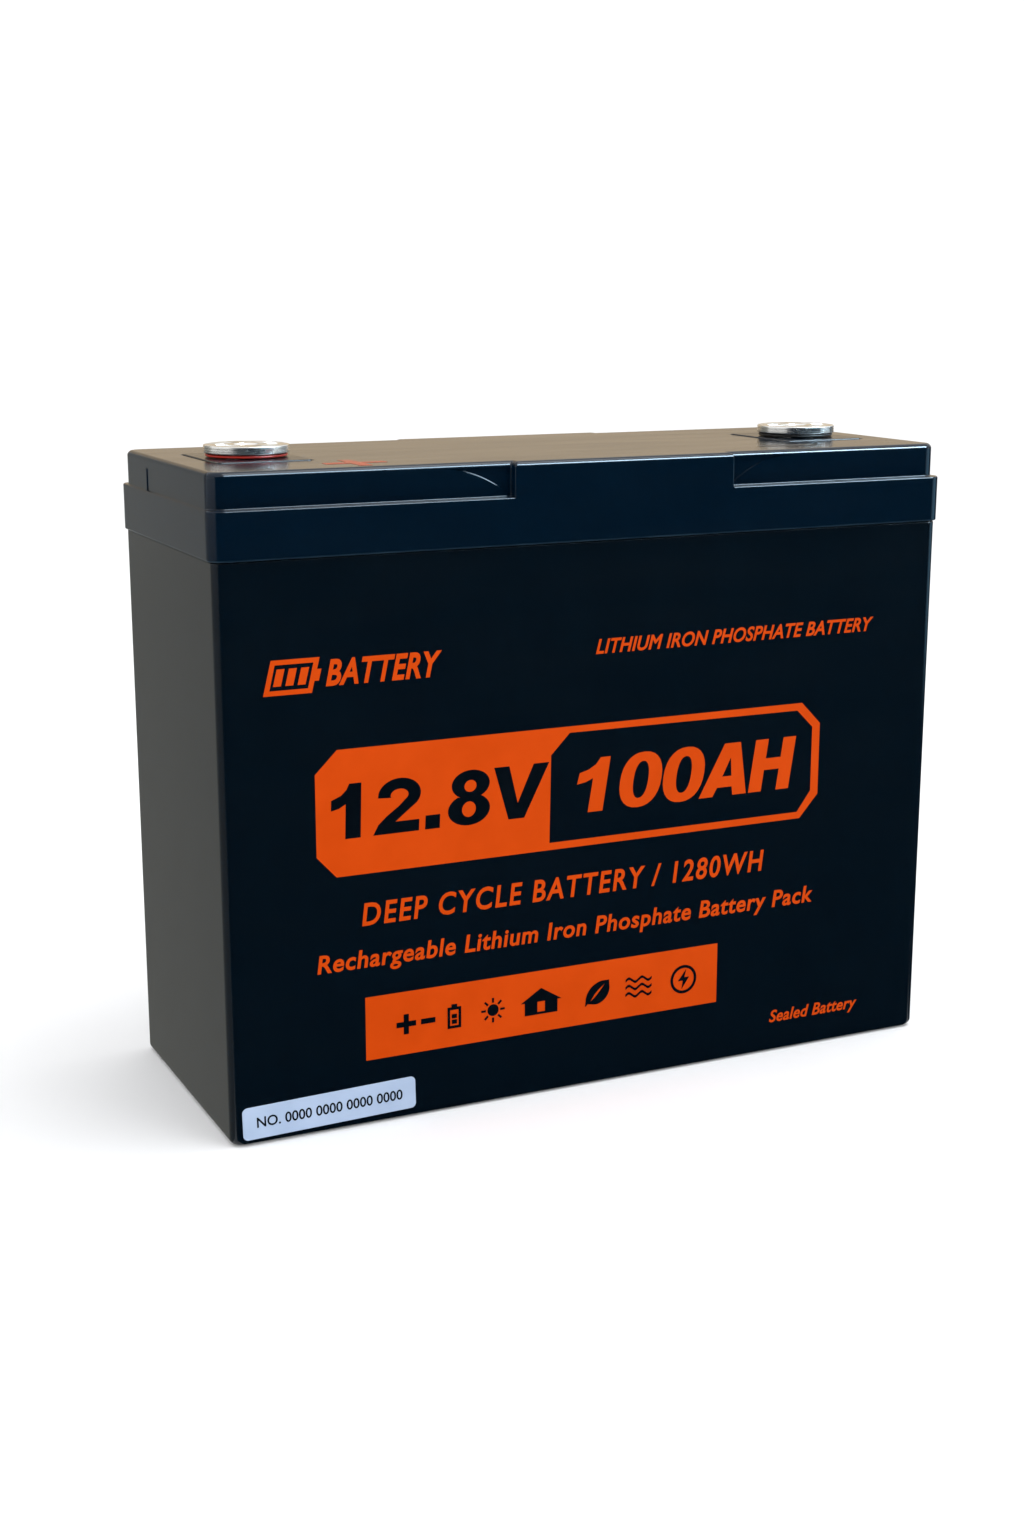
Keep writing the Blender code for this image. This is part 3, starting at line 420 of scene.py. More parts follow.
def paint_foot_highlight(made, level, depth, colour):
    """Paints a highlight: the plastic paler where it is lower than a level, in patches."""
    tree = made.node_tree
    shader = tree.nodes["Principled BSDF"]
    place = tree.nodes.new("ShaderNodeTexCoord").outputs["Object"]
    split = tree.nodes.new("ShaderNodeSeparateXYZ")
    tree.links.new(place, split.inputs["Vector"])
    edge = between(tree, split.outputs["Z"], 1, 0, level, level + depth)
    patches = between(tree, clouds(tree, place, 60, 4.0), 0.25, 1.0, 0.3, 0.7)
    # Painted highlight: where the paler colour is laid over the plastic's own colour.
    highlight_mask = tree.nodes.new("ShaderNodeMath")
    highlight_mask.operation = "MULTIPLY"
    tree.links.new(edge, highlight_mask.inputs[0])
    tree.links.new(patches, highlight_mask.inputs[1])
    mix = tree.nodes.new("ShaderNodeMix")
    mix.data_type = "RGBA"
    mix.inputs["B"].default_value = (*colour, 1)
    base = shader.inputs["Base Color"].links[0].from_socket
    tree.links.new(base, mix.inputs["A"])
    tree.links.new(highlight_mask.outputs["Value"], mix.inputs["Factor"])
    tree.links.new(mix.outputs["Result"], shader.inputs["Base Color"])


def grip_end():
    """Plan of the step at a grip's inner end: (towards the lid's middle, outwards)."""
    inner = [(-a, b) for a, b in rounding(GRIP_INNER_RADIUS, GRIP_STEPS)]
    outer = [(b, GRIP_DEPTH - a) for a, b in rounding(GRIP_OUTER_RADIUS, GRIP_STEPS)]
    return [(across + GRIP_DRAFT * out / GRIP_DEPTH, out) for across, out in inner + outer]


def lid_outline(in_x, in_y, in_middle, corner):
    """Plan of the lid at one level, from how far its ends, grips and full-depth middle are set in."""
    narrow = half_depth - in_y
    depth = in_y - in_middle
    corners = rounded_outline(half_length - in_x, narrow, corner)
    front = [(grip_ends[0] + in_middle + u, -narrow - v / GRIP_DEPTH * depth) for u, v in grip_end()]
    right = [(grip_ends[1] - in_middle - u, -narrow - v / GRIP_DEPTH * depth) for u, v in grip_end()]
    front += right[::-1]
    back = [(x, -y) for x, y in reversed(front)]
    quarter = CORNER_STEPS + 1
    return corners[: 2 * quarter] + back + corners[2 * quarter :] + front


def carve(piece, shape, operation="DIFFERENCE"):
    """Cuts a shape out of a piece, or adds it, and keeps the result as the piece's own mesh."""
    tool = make_piece("carving_tool", shape, piece.data.materials[0])
    modifier = piece.modifiers.new("carve", "BOOLEAN")
    modifier.object = tool
    modifier.operation = operation
    modifier.solver = "EXACT"
    seen = piece.evaluated_get(bpy.context.evaluated_depsgraph_get())
    carved = bpy.data.meshes.new_from_object(seen)
    piece.modifiers.clear()
    piece.data = carved
    bpy.data.objects.remove(tool)


def moved(shape, x, y=0):
    """The same shape, moved level."""
    bmesh.ops.translate(shape, verts=shape.verts[:], vec=(x, y, 0))
    return shape


def scoop(end_x, outward, side):
    """A shallow scoop: its edge is an arc from the ledge's inner corner up to a tangent under the top,
    and slopes inwards as it goes deeper."""
    top = lid_top - TOP_RADIUS
    drop = top - ledge - LEDGE_FILLET
    reach = math.sqrt(SCOOP_RADIUS**2 - (SCOOP_RADIUS - drop) ** 2)
    wall = half_depth - GRIP_DEPTH
    end_x += outward * (GRIP_INNER_RADIUS + LEDGE_FILLET / 2)
    rows = []
    for y, slope in ((wall + SCOOP_DEPTH, 0), (wall, 0), (wall - SCOOP_DEPTH, SCOOP_SLOPE)):
        radius = SCOOP_RADIUS + slope
        first = math.asin(reach / radius)
        last = math.acos(SCOOP_RADIUS / radius)
        row = []
        for step in range(SCOOP_STEPS + 1):
            angle = first + (last - first) * step / SCOOP_STEPS
            x = end_x + outward * (reach - radius * math.sin(angle))
            row.append((x, side * y, top - SCOOP_RADIUS + radius * math.cos(angle)))
        row.append((end_x, side * y, top))
        rows.append(row)
    return bridged(rows)


def seat_plan(pole, extra):
    """Outline of a terminal's seat round its own middle, grown by this much."""
    low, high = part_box(f"{pole}_seat")
    half_x = (high.x - low.x) / 2 + extra
    half_y = (high.y - low.y) / 2 + extra
    return rounded_outline(half_x, half_y, SEAT_CORNER + extra, 6)


# A painted highlight: a paler line along the skirt's rounded foot, broken into patches.
paint_foot_highlight(lid_abs, skirt_foot + SKIRT_EDGE / 2, SKIRT_EDGE, (0.020, 0.040, 0.058))
levels = []
for inset, rise in rounding(SKIRT_EDGE, 4):
    levels.append((lid_outline(inset, inset, inset, LID_CORNER - inset), skirt_foot + rise))
for inset, drop in reversed(rounding(LEDGE_EDGE, 5)):
    levels.append((lid_outline(inset, inset, 0, LID_CORNER - inset), ledge - drop))
for reach, rise in rounding(LEDGE_FILLET, 4):
    outline = lid_outline(overhang - reach, GRIP_DEPTH - reach, 0, LID_CORNER + reach)
    levels.append((outline, ledge + rise))
for inset, drop in reversed(rounding(TOP_RADIUS, 10)):
    outline = lid_outline(overhang + inset, GRIP_DEPTH + inset, inset, LID_CORNER - inset)
    levels.append((outline, lid_top - drop))
border = TOP_RADIUS + TOP_BORDER
levels.append((lid_outline(overhang + border, GRIP_DEPTH + border, border, LID_CORNER - border), lid_top))
lid = make_piece("lid_shell", skinned(levels), lid_abs)

skirt_inside = rounded_outline(half_length - SKIRT_WALL, half_depth - SKIRT_WALL, CONTAINER_CORNER)
block_x = half_length - overhang - PLATE
block_y = half_depth - GRIP_DEPTH - PLATE
block_inside = rounded_outline(block_x, block_y, CONTAINER_CORNER)
levels = [(skirt_inside, skirt_foot - PLATE), (skirt_inside, ledge - PLATE)]
levels += [(block_inside, ledge - PLATE), (block_inside, lid_top - PLATE)]
carve(lid, skinned(levels))

for side in (-1, 1):
    carve(lid, scoop(grip_ends[0], -1, side))
    carve(lid, scoop(grip_ends[1], 1, side))

for side in (-1, 1):
    levels = []
    for inset, corner, rise in (
        (0, 0.6, -RIB_PROUD),
        (0, 0.6, RIB_HEIGHT - RIB_PROUD),
        (RIB_PROUD / 2, 0.25, RIB_HEIGHT),
    ):
        outline = rounded_outline(RIB_PROUD - inset, RIB_WIDTH / 2 - inset, corner * RIB_PROUD, 4)
        levels.append((outline, ledge + rise))
    carve(lid, moved(skinned(levels), side * body_high.x, RIB_Y), "UNION")

bore_radius = SHANK / 2 + GAP
bore = rounded_outline(bore_radius, bore_radius, bore_radius)
terminal_xs = {}
for pole in ("positive", "negative"):
    low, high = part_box(f"{pole}_seat")
    x = terminal_xs[pole] = (low.x + high.x) / 2
    levels = []
    for extra, z in (
        (0, lid_top - SEAT_POCKET),
        (0, lid_top - POCKET_CHAMFER),
        (POCKET_CHAMFER, lid_top),
        (POCKET_CHAMFER, lid_top + SEAT_POCKET),
    ):
        levels.append((seat_plan(pole, GAP + extra), z))
    carve(lid, moved(skinned(levels), x))
    carve(lid, moved(skinned([(bore, lid_top - 2 * PLATE), (bore, lid_top)]), x))
fit_to_pack(lid, "case_lid")


# ---- Terminal seats -----------------------------------------------------------------------------
# Rectangular plates let into the lid's top, a hair proud of it, that keep the terminals from turning.
# They are moulded in the same ABS as the container.
SEAT_EDGE = 0.0004

seat_abs = moulded_plastic(
    "seat_abs", (0.0010, 0.0050, 0.0110), (0.0016, 0.0064, 0.0140), 0.17, 0.26, gloss=0.33
)
for pole, x in terminal_xs.items():
    low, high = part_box(f"{pole}_seat")
    levels = [(seat_plan(pole, 0), low.z)]
    for inset, drop in reversed(rounding(SEAT_EDGE, 4)):
        levels.append((seat_plan(pole, -inset), high.z - drop))
    seat = make_piece(f"{pole}_seat_plate", skinned(levels), seat_abs)
    carve(seat, skinned([(bore, low.z - SEAT_POCKET), (bore, high.z + SEAT_POCKET)]))
    seat.data.transform(Matrix.Translation((x, 0, 0)))
    fit_to_pack(seat, f"{pole}_seat")


# ---- Sealing rings ------------------------------------------------------------------------------
# Soft rubber rings squeezed between seat and terminal, so that they bulge at the rim: red marks the
# positive pole and black the negative.
BULGE_STEPS = 8
RING_SIDES = 96


def rubber(name, dark, light, roughness):
    """Moulded rubber: a dull skin with a fine bloom and dust-sized grain."""
    made, tree, shader, place = start_material(name, light, roughness)
    bloom = clouds(tree, place, 260, 4.0)
    tree.links.new(shades(tree, bloom, dark, light), shader.inputs["Base Color"])
    tree.links.new(between(tree, bloom, roughness - 0.06, roughness + 0.08), shader.inputs["Roughness"])
    relief(tree, shader, clouds(tree, place, 2400, 2.0), 0.00001)
    return made


rubbers = {
    "positive": rubber("red_rubber", (0.46, 0.014, 0.004), (0.58, 0.022, 0.007), 0.36),
    "negative": rubber("black_rubber", (0.008, 0.008, 0.009), (0.016, 0.016, 0.017), 0.50),
}
for pole, x in terminal_xs.items():
    low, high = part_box(f"{pole}_gasket")
    middle = (low.z + high.z) / 2
    half = (high.z - low.z) / 2
    outer = (high.x - low.x) / 2 - half
    profile = [(bore_radius, low.z), (outer, low.z)]
    for step in range(1, BULGE_STEPS):
        angle = math.radians(-90 + 180 * step / BULGE_STEPS)
        profile.append((outer + half * math.cos(angle), middle + half * math.sin(angle)))
    profile += [(outer, high.z), (bore_radius, high.z)]
    ring = make_piece(f"{pole}_sealing_ring", turned(profile, RING_SIDES), rubbers[pole])
    ring.data.transform(Matrix.Translation((x, 0, 0)))
    fit_to_pack(ring, f"{pole}_gasket")


# ---- Terminals ----------------------------------------------------------------------------------
# Turned brass discs, tin plated, with two grooves round the rim, a ring of fine teeth that bite into
# a cable lug, and a threaded M8 hole. The shank goes down through the lid.
BORE = 0.0068
BORE_DEPTH = 0.009
BORE_CHAMFER = 0.0009
THREAD_PITCH = 0.00125
THREAD_HEIGHT = 0.0004
DISC = 0.0026
DISC_SIDES = 128
RIM_GROOVE = 0.00035
GROOVE_LEVELS = (0.36, 0.66)
RIM_EDGE = 0.0003
SCREW_BORE = 0.0066
SCREW_DEPTH = 0.0056
TEETH = 60
TOOTH_LENGTH = 0.0040
TOOTH_WIDTH = 0.00042
TOOTH_HEIGHT = 0.00022
TOOTH_TOP = 0.30
TOOTH_RING = 0.0085


def plated_metal(name, colour, smooth, rough, turning=(1, 1, 1), scratch=0.000004):
    """Plated metal: a bright skin with uneven sheen, handling marks and fine tool lines."""
    made, tree, shader, place = start_material(name, colour, rough, metallic=1.0)
    stain = clouds(tree, place, 140, 6.0)
    dull = tuple(0.80 * c for c in colour)
    tree.links.new(shades(tree, stain, dull, colour), shader.inputs["Base Color"])
    tree.links.new(between(tree, stain, rough, smooth), shader.inputs["Roughness"])
    relief(tree, shader, clouds(tree, place, 1500, 3.0, turning), scratch)
    return made


def begin_tree(name, sizes):
    """An empty geometry node tree with these named inputs, and the sockets that they arrive at."""
    tree = bpy.data.node_groups.new(name, "GeometryNodeTree")
    for label, kind in sizes.items():
        tree.interface.new_socket(label, in_out="INPUT", socket_type=f"NodeSocket{kind}")
    tree.interface.new_socket("Geometry", in_out="OUTPUT", socket_type="NodeSocketGeometry")
    return tree, tree.nodes.new("NodeGroupInput").outputs


def end_tree(tree, given, shape):
    """Lifts a tree's shape to its level, makes its copies real and gives it its finish."""
    link = tree.links.new
    lift = tree.nodes.new("ShaderNodeCombineXYZ")
    link(given["Level"], lift.inputs["Z"])
    raised = tree.nodes.new("GeometryNodeTransform")
    link(shape, raised.inputs["Geometry"])
    link(lift.outputs["Vector"], raised.inputs["Translation"])
    real = tree.nodes.new("GeometryNodeRealizeInstances")
    link(raised.outputs["Geometry"], real.inputs["Geometry"])
    painted = tree.nodes.new("GeometryNodeSetMaterial")
    link(real.outputs["Geometry"], painted.inputs["Geometry"])
    link(given["Finish"], painted.inputs["Material"])
    result = tree.nodes.new("NodeGroupOutput")
    link(painted.outputs["Geometry"], result.inputs["Geometry"])
    return tree


def teeth_maker():
    """Geometry nodes that set copies of one small ridge round a ring, all pointing outwards."""
    lengths = dict.fromkeys(("Ring Radius", "Length", "Width", "Height", "Level"), "Float")
    tree, given = begin_tree("lug_teeth", {"Count": "Int", **lengths, "Finish": "Material"})
    link = tree.links.new
    ring = tree.nodes.new("GeometryNodeMeshCircle")
    link(given["Count"], ring.inputs["Vertices"])
    link(given["Ring Radius"], ring.inputs["Radius"])
    ridge = tree.nodes.new("GeometryNodeMeshCone")
    ridge.inputs["Vertices"].default_value = 4
    ridge.inputs["Radius Top"].default_value = TOOTH_TOP
    ridge.inputs["Radius Bottom"].default_value = math.sqrt(0.5)
    ridge.inputs["Depth"].default_value = 1.0
    square = tree.nodes.new("GeometryNodeTransform")
    square.inputs["Rotation"].default_value = (0, 0, math.radians(45))
    link(ridge.outputs["Mesh"], square.inputs["Geometry"])
    size = tree.nodes.new("ShaderNodeCombineXYZ")
    link(given["Length"], size.inputs["X"])
    link(given["Width"], size.inputs["Y"])
    link(given["Height"], size.inputs["Z"])
    sized = tree.nodes.new("GeometryNodeTransform")
    link(square.outputs["Geometry"], sized.inputs["Geometry"])
    link(size.outputs["Vector"], sized.inputs["Scale"])
    place = tree.nodes.new("GeometryNodeInputPosition")
    outward = tree.nodes.new("FunctionNodeAlignRotationToVector")
    outward.axis = "X"
    link(place.outputs["Position"], outward.inputs["Vector"])
    spread = tree.nodes.new("GeometryNodeInstanceOnPoints")
    link(ring.outputs["Mesh"], spread.inputs["Points"])
    link(sized.outputs["Geometry"], spread.inputs["Instance"])
    link(outward.outputs["Rotation"], spread.inputs["Rotation"])
    return end_tree(tree, given, spread.outputs["Instances"])


def thread_maker():
    """Geometry nodes that sweep a three-sided ridge along a helix: the thread of a bolt hole."""
    lengths = dict.fromkeys(("Turns", "Radius", "Rise", "Ridge", "Level"), "Float")
    tree, given = begin_tree("bolt_thread", {**lengths, "Finish": "Material"})
    link = tree.links.new
    helix = tree.nodes.new("GeometryNodeCurveSpiral")
    helix.inputs["Resolution"].default_value = 40
    link(given["Turns"], helix.inputs["Rotations"])
    link(given["Radius"], helix.inputs["Start Radius"])
    link(given["Radius"], helix.inputs["End Radius"])
    link(given["Rise"], helix.inputs["Height"])
    ridge = tree.nodes.new("GeometryNodeCurvePrimitiveCircle")
    ridge.inputs["Resolution"].default_value = 3
    link(given["Ridge"], ridge.inputs["Radius"])
    swept = tree.nodes.new("GeometryNodeCurveToMesh")
    swept.inputs["Fill Caps"].default_value = True
    link(helix.outputs["Curve"], swept.inputs["Curve"])
    link(ridge.outputs["Curve"], swept.inputs["Profile Curve"])
    return end_tree(tree, given, swept.outputs["Mesh"])


def grown(name, maker, values, x):
    """Runs a geometry node tree with these inputs and keeps its result as a plain mesh at x."""
    seed = bpy.data.objects.new(name, bpy.data.meshes.new(name))
    scene.collection.objects.link(seed)
    modifier = seed.modifiers.new(name, "NODES")
    modifier.node_group = maker
    for item in maker.interface.items_tree:
        if item.in_out == "INPUT" and item.name in values:
            modifier[item.identifier] = values[item.name]
    seen = seed.evaluated_get(bpy.context.evaluated_depsgraph_get())
    mesh = bpy.data.meshes.new_from_object(seen)
    seed.modifiers.clear()
    mesh.transform(Matrix.Translation((x, 0, 0)))
    seed.data = mesh
    return seed


tin_plate = plated_metal("tin_plate", (0.86, 0.85, 0.82), 0.18, 0.32, (1, 1, 6))
lug_teeth = teeth_maker()
bolt_thread = thread_maker()
for pole, x in terminal_xs.items():
    low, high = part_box(f"{pole}_terminal")
    top = high.z - TOOTH_HEIGHT / 2
    bore_foot = high.z - BORE_DEPTH
    disc_foot = high.z - DISC
    outer = (high.x - low.x) / 2
    profile = [(0, bore_foot), (BORE / 2, bore_foot)]
    profile += [(BORE / 2, top - BORE_CHAMFER), (BORE / 2 + BORE_CHAMFER, top)]
    for inset, drop in reversed(rounding(RIM_EDGE, 5)):
        profile.append((outer - drop, top - inset))
    for level in GROOVE_LEVELS:
        z = high.z - level * DISC
        for step in range(7):
            angle = math.radians(180 * step / 6)
            profile.append((outer - RIM_GROOVE * math.sin(angle), z + RIM_GROOVE / 2 * math.cos(angle)))
    for inset, rise in reversed(rounding(RIM_EDGE, 5)):
        profile.append((outer - inset, disc_foot + rise))
    profile += [(SHANK / 2, disc_foot), (SHANK / 2, low.z), (SCREW_BORE / 2, low.z)]
    profile += [(SCREW_BORE / 2, low.z + SCREW_DEPTH), (0, low.z + SCREW_DEPTH)]
    terminal = make_piece(f"{pole}_terminal_disc", turned(profile, DISC_SIDES), tin_plate)
    terminal.data.transform(Matrix.Translation((x, 0, 0)))
    fit_to_pack(terminal, f"{pole}_terminal", sharp=40)

    threaded = BORE_DEPTH - 2 * THREAD_PITCH
    teeth_sizes = {
        "Count": TEETH,
        "Ring Radius": TOOTH_RING,
        "Length": TOOTH_LENGTH,
        "Width": TOOTH_WIDTH,
        "Height": TOOTH_HEIGHT,
        "Level": top - TOOTH_HEIGHT / 2,
        "Finish": tin_plate,
    }
    thread_sizes = {
        "Turns": threaded / THREAD_PITCH,
        "Radius": BORE / 2,
        "Rise": threaded,
        "Ridge": THREAD_HEIGHT,
        "Level": bore_foot + THREAD_PITCH / 2,
        "Finish": tin_plate,
    }
    for maker, sizes in ((lug_teeth, teeth_sizes), (bolt_thread, thread_sizes)):
        detail = grown(f"{pole}_{maker.name}", maker, sizes, x)
        mount(detail)


# ---- Screen print -------------------------------------------------------------------------------
# One pass of orange ink and one of black on the container's front: a rating badge, lines of plain
# description, and a band of pictograms. Each mark is a film of ink with its own small thickness.
MM = 0.001
ORANGE_FILM = 0.00007
BLACK_FILM = 0.00011
CAPITAL = 0.68  # height of a capital in the built-in type

front = -body_high.y


def ink(name, dark, light, roughness, gloss=0.04):
    """Screen ink: an even film with the faint grain of the mesh that it was pushed through."""
    made, tree, shader, place = start_material(name, light, roughness, gloss=gloss)
    patch = clouds(tree, place, 70, 5.0)
    tree.links.new(shades(tree, patch, dark, light), shader.inputs["Base Color"])
    tree.links.new(between(tree, patch, roughness - 0.05, roughness + 0.06), shader.inputs["Roughness"])
    relief(tree, shader, clouds(tree, place, 3200, 1.0), 0.000004)
    return made


inks = {
    "orange_ink": ink("orange_ink", (0.560, 0.054, 0.0001), (0.600, 0.059, 0.0002), 0.45),
    "black_ink": ink("black_ink", (0.0006, 0.0026, 0.0052), (0.0010, 0.0036, 0.0068), 0.32),
}


def printed(name, solid, slot="orange_ink", film=ORANGE_FILM, back=front, tilt=0.0, middle=(0, 0)):
    """Stands a solid drawn in X and Y, in millimetres, and from -1 to 1 in Z, on the front as a film."""
    shape = bmesh.new()
    shape.from_mesh(solid)
    bmesh.ops.remove_doubles(shape, verts=shape.verts[:], dist=1e-4)
    bmesh.ops.dissolve_degenerate(shape, edges=shape.edges[:], dist=1e-4)
    for vert in shape.verts:
        x = vert.co.x * math.cos(tilt) - vert.co.y * math.sin(tilt) + middle[0]
        z = vert.co.x * math.sin(tilt) + vert.co.y * math.cos(tilt) + middle[1]
        vert.co = Vector((x * MM, back - film * (0.375 + 0.625 * vert.co.z), z * MM))
    piece = make_piece(name, shape, inks[slot])
    piece.data.set_sharp_from_angle(angle=math.radians(30))
    mount(piece)


def solid_of(curve):
    """The mesh of a filled curve, from -1 to 1 in Z."""
    holder = bpy.data.objects.new("outline", curve)
    scene.collection.objects.link(holder)
    seen = holder.evaluated_get(bpy.context.evaluated_depsgraph_get())
    solid = bpy.data.meshes.new_from_object(seen)
    bpy.data.objects.remove(holder)
    tallest = max(vert.co.z for vert in solid.vertices)
    for vert in solid.vertices:
        vert.co.z /= tallest
    return solid


def filled(outlines):
    """Fills outlines, where one inside another is a hole. A point is (x, y), or (x, y, True) if round."""
    curve = bpy.data.curves.new("outline", "CURVE")
    curve.dimensions = "2D"
    curve.fill_mode = "BOTH"
    curve.extrude = 1.0
    curve.resolution_u = 8
    for outline in outlines:
        spline = curve.splines.new("BEZIER")
        spline.bezier_points.add(len(outline) - 1)
        spline.use_cyclic_u = True
        for point, place in zip(spline.bezier_points, outline):
            point.co = (place[0], place[1], 0)
            handle = "AUTO" if len(place) == 3 else "VECTOR"
            point.handle_left_type = handle
            point.handle_right_type = handle
        if all(len(place) == 2 for place in outline):
            spline.resolution_u = 1
    return solid_of(curve)


def oval(x, y, half_x, half_y, start=0, end=360, steps=28, square=2.0):
    """Points round an oval from one angle to another. Above 2, square makes its sides straighter."""
    points = []
    for step in range(steps if end - start == 360 else steps + 1):
        angle = math.radians(start + (end - start) * step / steps)
        across = math.copysign(abs(math.cos(angle)) ** (2 / square), math.cos(angle))
        up = math.copysign(abs(math.sin(angle)) ** (2 / square), math.sin(angle))
        points.append((x + half_x * across, y + half_y * up))
    return points


def block(x0, y0, x1, y1):
    """Corners of a rectangle."""
    return [(x0, y0), (x1, y0), (x1, y1), (x0, y1)]


def placed(outlines, x, y, lean=0.0, wide=1.0, high=1.0):
    """Moves, stretches and slants outlines."""
    return [
        [(x + wide * p[0] + lean * high * p[1], y + high * p[1], *p[2:]) for p in outline]
        for outline in outlines
    ]


def line_of_words(words, left, right, base, capital, lean, weight, spacing=1.0):
    """Letters of the built-in type, swollen by their weight and fitted between left and right, with
    capitals of this height, all in millimetres."""
    curve = bpy.data.curves.new("words", "FONT")
    curve.body = words
    curve.shear = lean
    curve.space_character = spacing
    curve.resolution_u = 4
    curve.fill_mode = "BOTH"
    curve.extrude = 0.02
    curve.bevel_depth = weight
    curve.bevel_resolution = 0
    solid = solid_of(curve)
    xs = [vert.co.x for vert in solid.vertices]
    first = min(xs)
    wide = (right - left) / (max(xs) - first)
    high = capital / (CAPITAL + 2 * weight)
    for vert in solid.vertices:
        vert.co.x = left + (vert.co.x - first) * wide
        vert.co.y = base + (vert.co.y + weight) * high
    return solid


# Heavy numerals and letters of the rating, in millimetres from the left end of their baseline.
one = [[(4.8, 0), (9.9, 0), (9.9, 17.5), (5.9, 17.5), (5.0, 15.6), (3.2, 13.9), (0, 12.6), (0, 9.3)]]
one[0] += [(2.6, 9.9), (4.8, 11.1)]
two = [[(0, 0), (15.4, 0), (15.4, 3.7), (7.3, 3.7), (10.4, 6.2), *oval(8.4, 12.3, 7.2, 5.3, -36, 186)]]
two[0] += [*oval(8.4, 12.2, 3.0, 2.0, 200, -35), (8.3, 8.6), (4.4, 5.8), (1.6, 3.2)]
point = [block(0, 0, 5.0, 4.5)]
eight = [
    [*oval(7.25, 4.85, 7.3, 5.15, 124.4, 415.6), *oval(7.5, 13.0, 6.6, 4.7, -58, 238)],
    oval(7.2, 4.95, 2.4, 2.55),
    oval(7.4, 12.5, 2.1, 1.95),
]
vee = [[(5.0, 0), (10.6, 0), (19.5, 17.5), (14.0, 17.5), (8.3, 5.1), (5.35, 17.5), (0, 17.5)]]
slanted_one = [[(4.0, 0), (9.4, 0), (9.6, 18), (6.0, 18), (4.6, 15.8), (2.2, 14.3), (-1.0, 13.4)]]
slanted_one[0] += [(-1.4, 9.7), (1.6, 10.2), (4.2, 11.3)]
nought = [oval(7.8, 9.0, 7.8, 9.3, square=2.3), oval(7.8, 9.0, 2.8, 6.2, square=2.3)]
ay = [
    [(0, 0), (5.3, 0), (6.6, 3.0), (12.3, 3.0), (13.1, 0), (18.4, 0), (13.3, 18), (7.1, 18)],
    [(8.0, 6.7), (11.6, 6.7), (10.3, 13.1)],
]
aitch = [[(0, 0), (5.0, 0), (5.0, 7.3), (10.9, 7.3), (10.9, 0), (15.9, 0), (15.9, 18), (10.9, 18)]]
aitch[0] += [(10.9, 11.3), (5.0, 11.3), (5.0, 18), (0, 18)]

volts = []
for figure, x, lean in (
    (one, -94.5, 0.03),
    (two, -80.4, 0.05),
    (point, -62.9, 0.05),
    (eight, -55.2, 0.05),
    (vee, -38.9, 0),
):
    volts += placed(figure, x, 96.0, lean)
amp_hours = []
for figure, x in ((slanted_one, -9.3), (nought, 5.2), (nought, 21.5), (ay, 36.5), (aitch, 55.8)):
    amp_hours += placed(figure, x, 95.2, 0.15)
plate = [(-99.2, 91.0), (-99.2, 117.3), (-91.9, 124.5), (76.4, 124.5), (83.8, 116.9), (83.8, 92.0)]
plate += [(76.7, 84.0), (-92.8, 84.0)]
window = [(-19.2, 86.4), (-18.7, 115.6), (-12.0, 122.4), (74.6, 122.0), (80.8, 115.8), (80.8, 93.4)]
window += [(75.6, 86.3)]
printed("badge", filled([plate, window]))
printed("rating_volts", filled(volts), "black_ink", BLACK_FILM)
printed("rating_amp_hours", filled(amp_hours))

long_name = "Rechargeable Lithium Iron Phosphate Battery Pack"
for name, words, left, right, base, capital, lean, weight, spacing in (
    ("type_line", "LITHIUM IRON PHOSPHATE BATTERY", -2.8, 104.2, 147.4, 4.8, 0.28, 0.024, 1.04),
    ("energy_line", "DEEP CYCLE BATTERY / 1280WH", -84.6, 62.8, 67.0, 7.4, 0.14, 0.020, 1.16),
    ("chemistry_line", long_name, -99.8, 83.2, 53.2, 6.0, 0.14, 0.022, 1.08),
    ("sealed_line", "Sealed Battery", 67.0, 103.6, 10.9, 4.4, 0.24, 0.022, 1.04),
    ("emblem_words", "BATTERY", -95.0, -56.6, 144.6, 8.2, 0.28, 0.030, 1.06),
):
    printed(name, line_of_words(words, left, right, base, capital, lean, weight, spacing))

# The emblem is a plain battery outline with charge bars.
emblem = [
    [(-115, 143), (-99.5, 143), (-98.6, 146.6), (-97.2, 146.6), (-96.3, 150.2), (-97.7, 150.2)],
    [(-113.0, 144.5), (-100.7, 144.5), (-98.8, 152.3), (-111.1, 152.3)],
]
emblem[0] += [(-96.8, 153.8), (-112.3, 153.8)]
for i in range(3):
    x = -111.8 + 3.9 * i
    emblem.append([(x, 145.8), (x + 2.5, 145.8), (x + 3.8, 151.0), (x + 1.3, 151.0)])
printed("emblem", filled(emblem))


# ---- Pictograms ---------------------------------------------------------------------------------
# An orange band with seven plain pictures in black: plus and minus, a battery, a sun, a house, a
# leaf, a wave and a bolt. Each is drawn round its own middle.
BAND = (-84.0, 22.0, 45.2, 43.2)
BAND_MIDDLE = 32.2

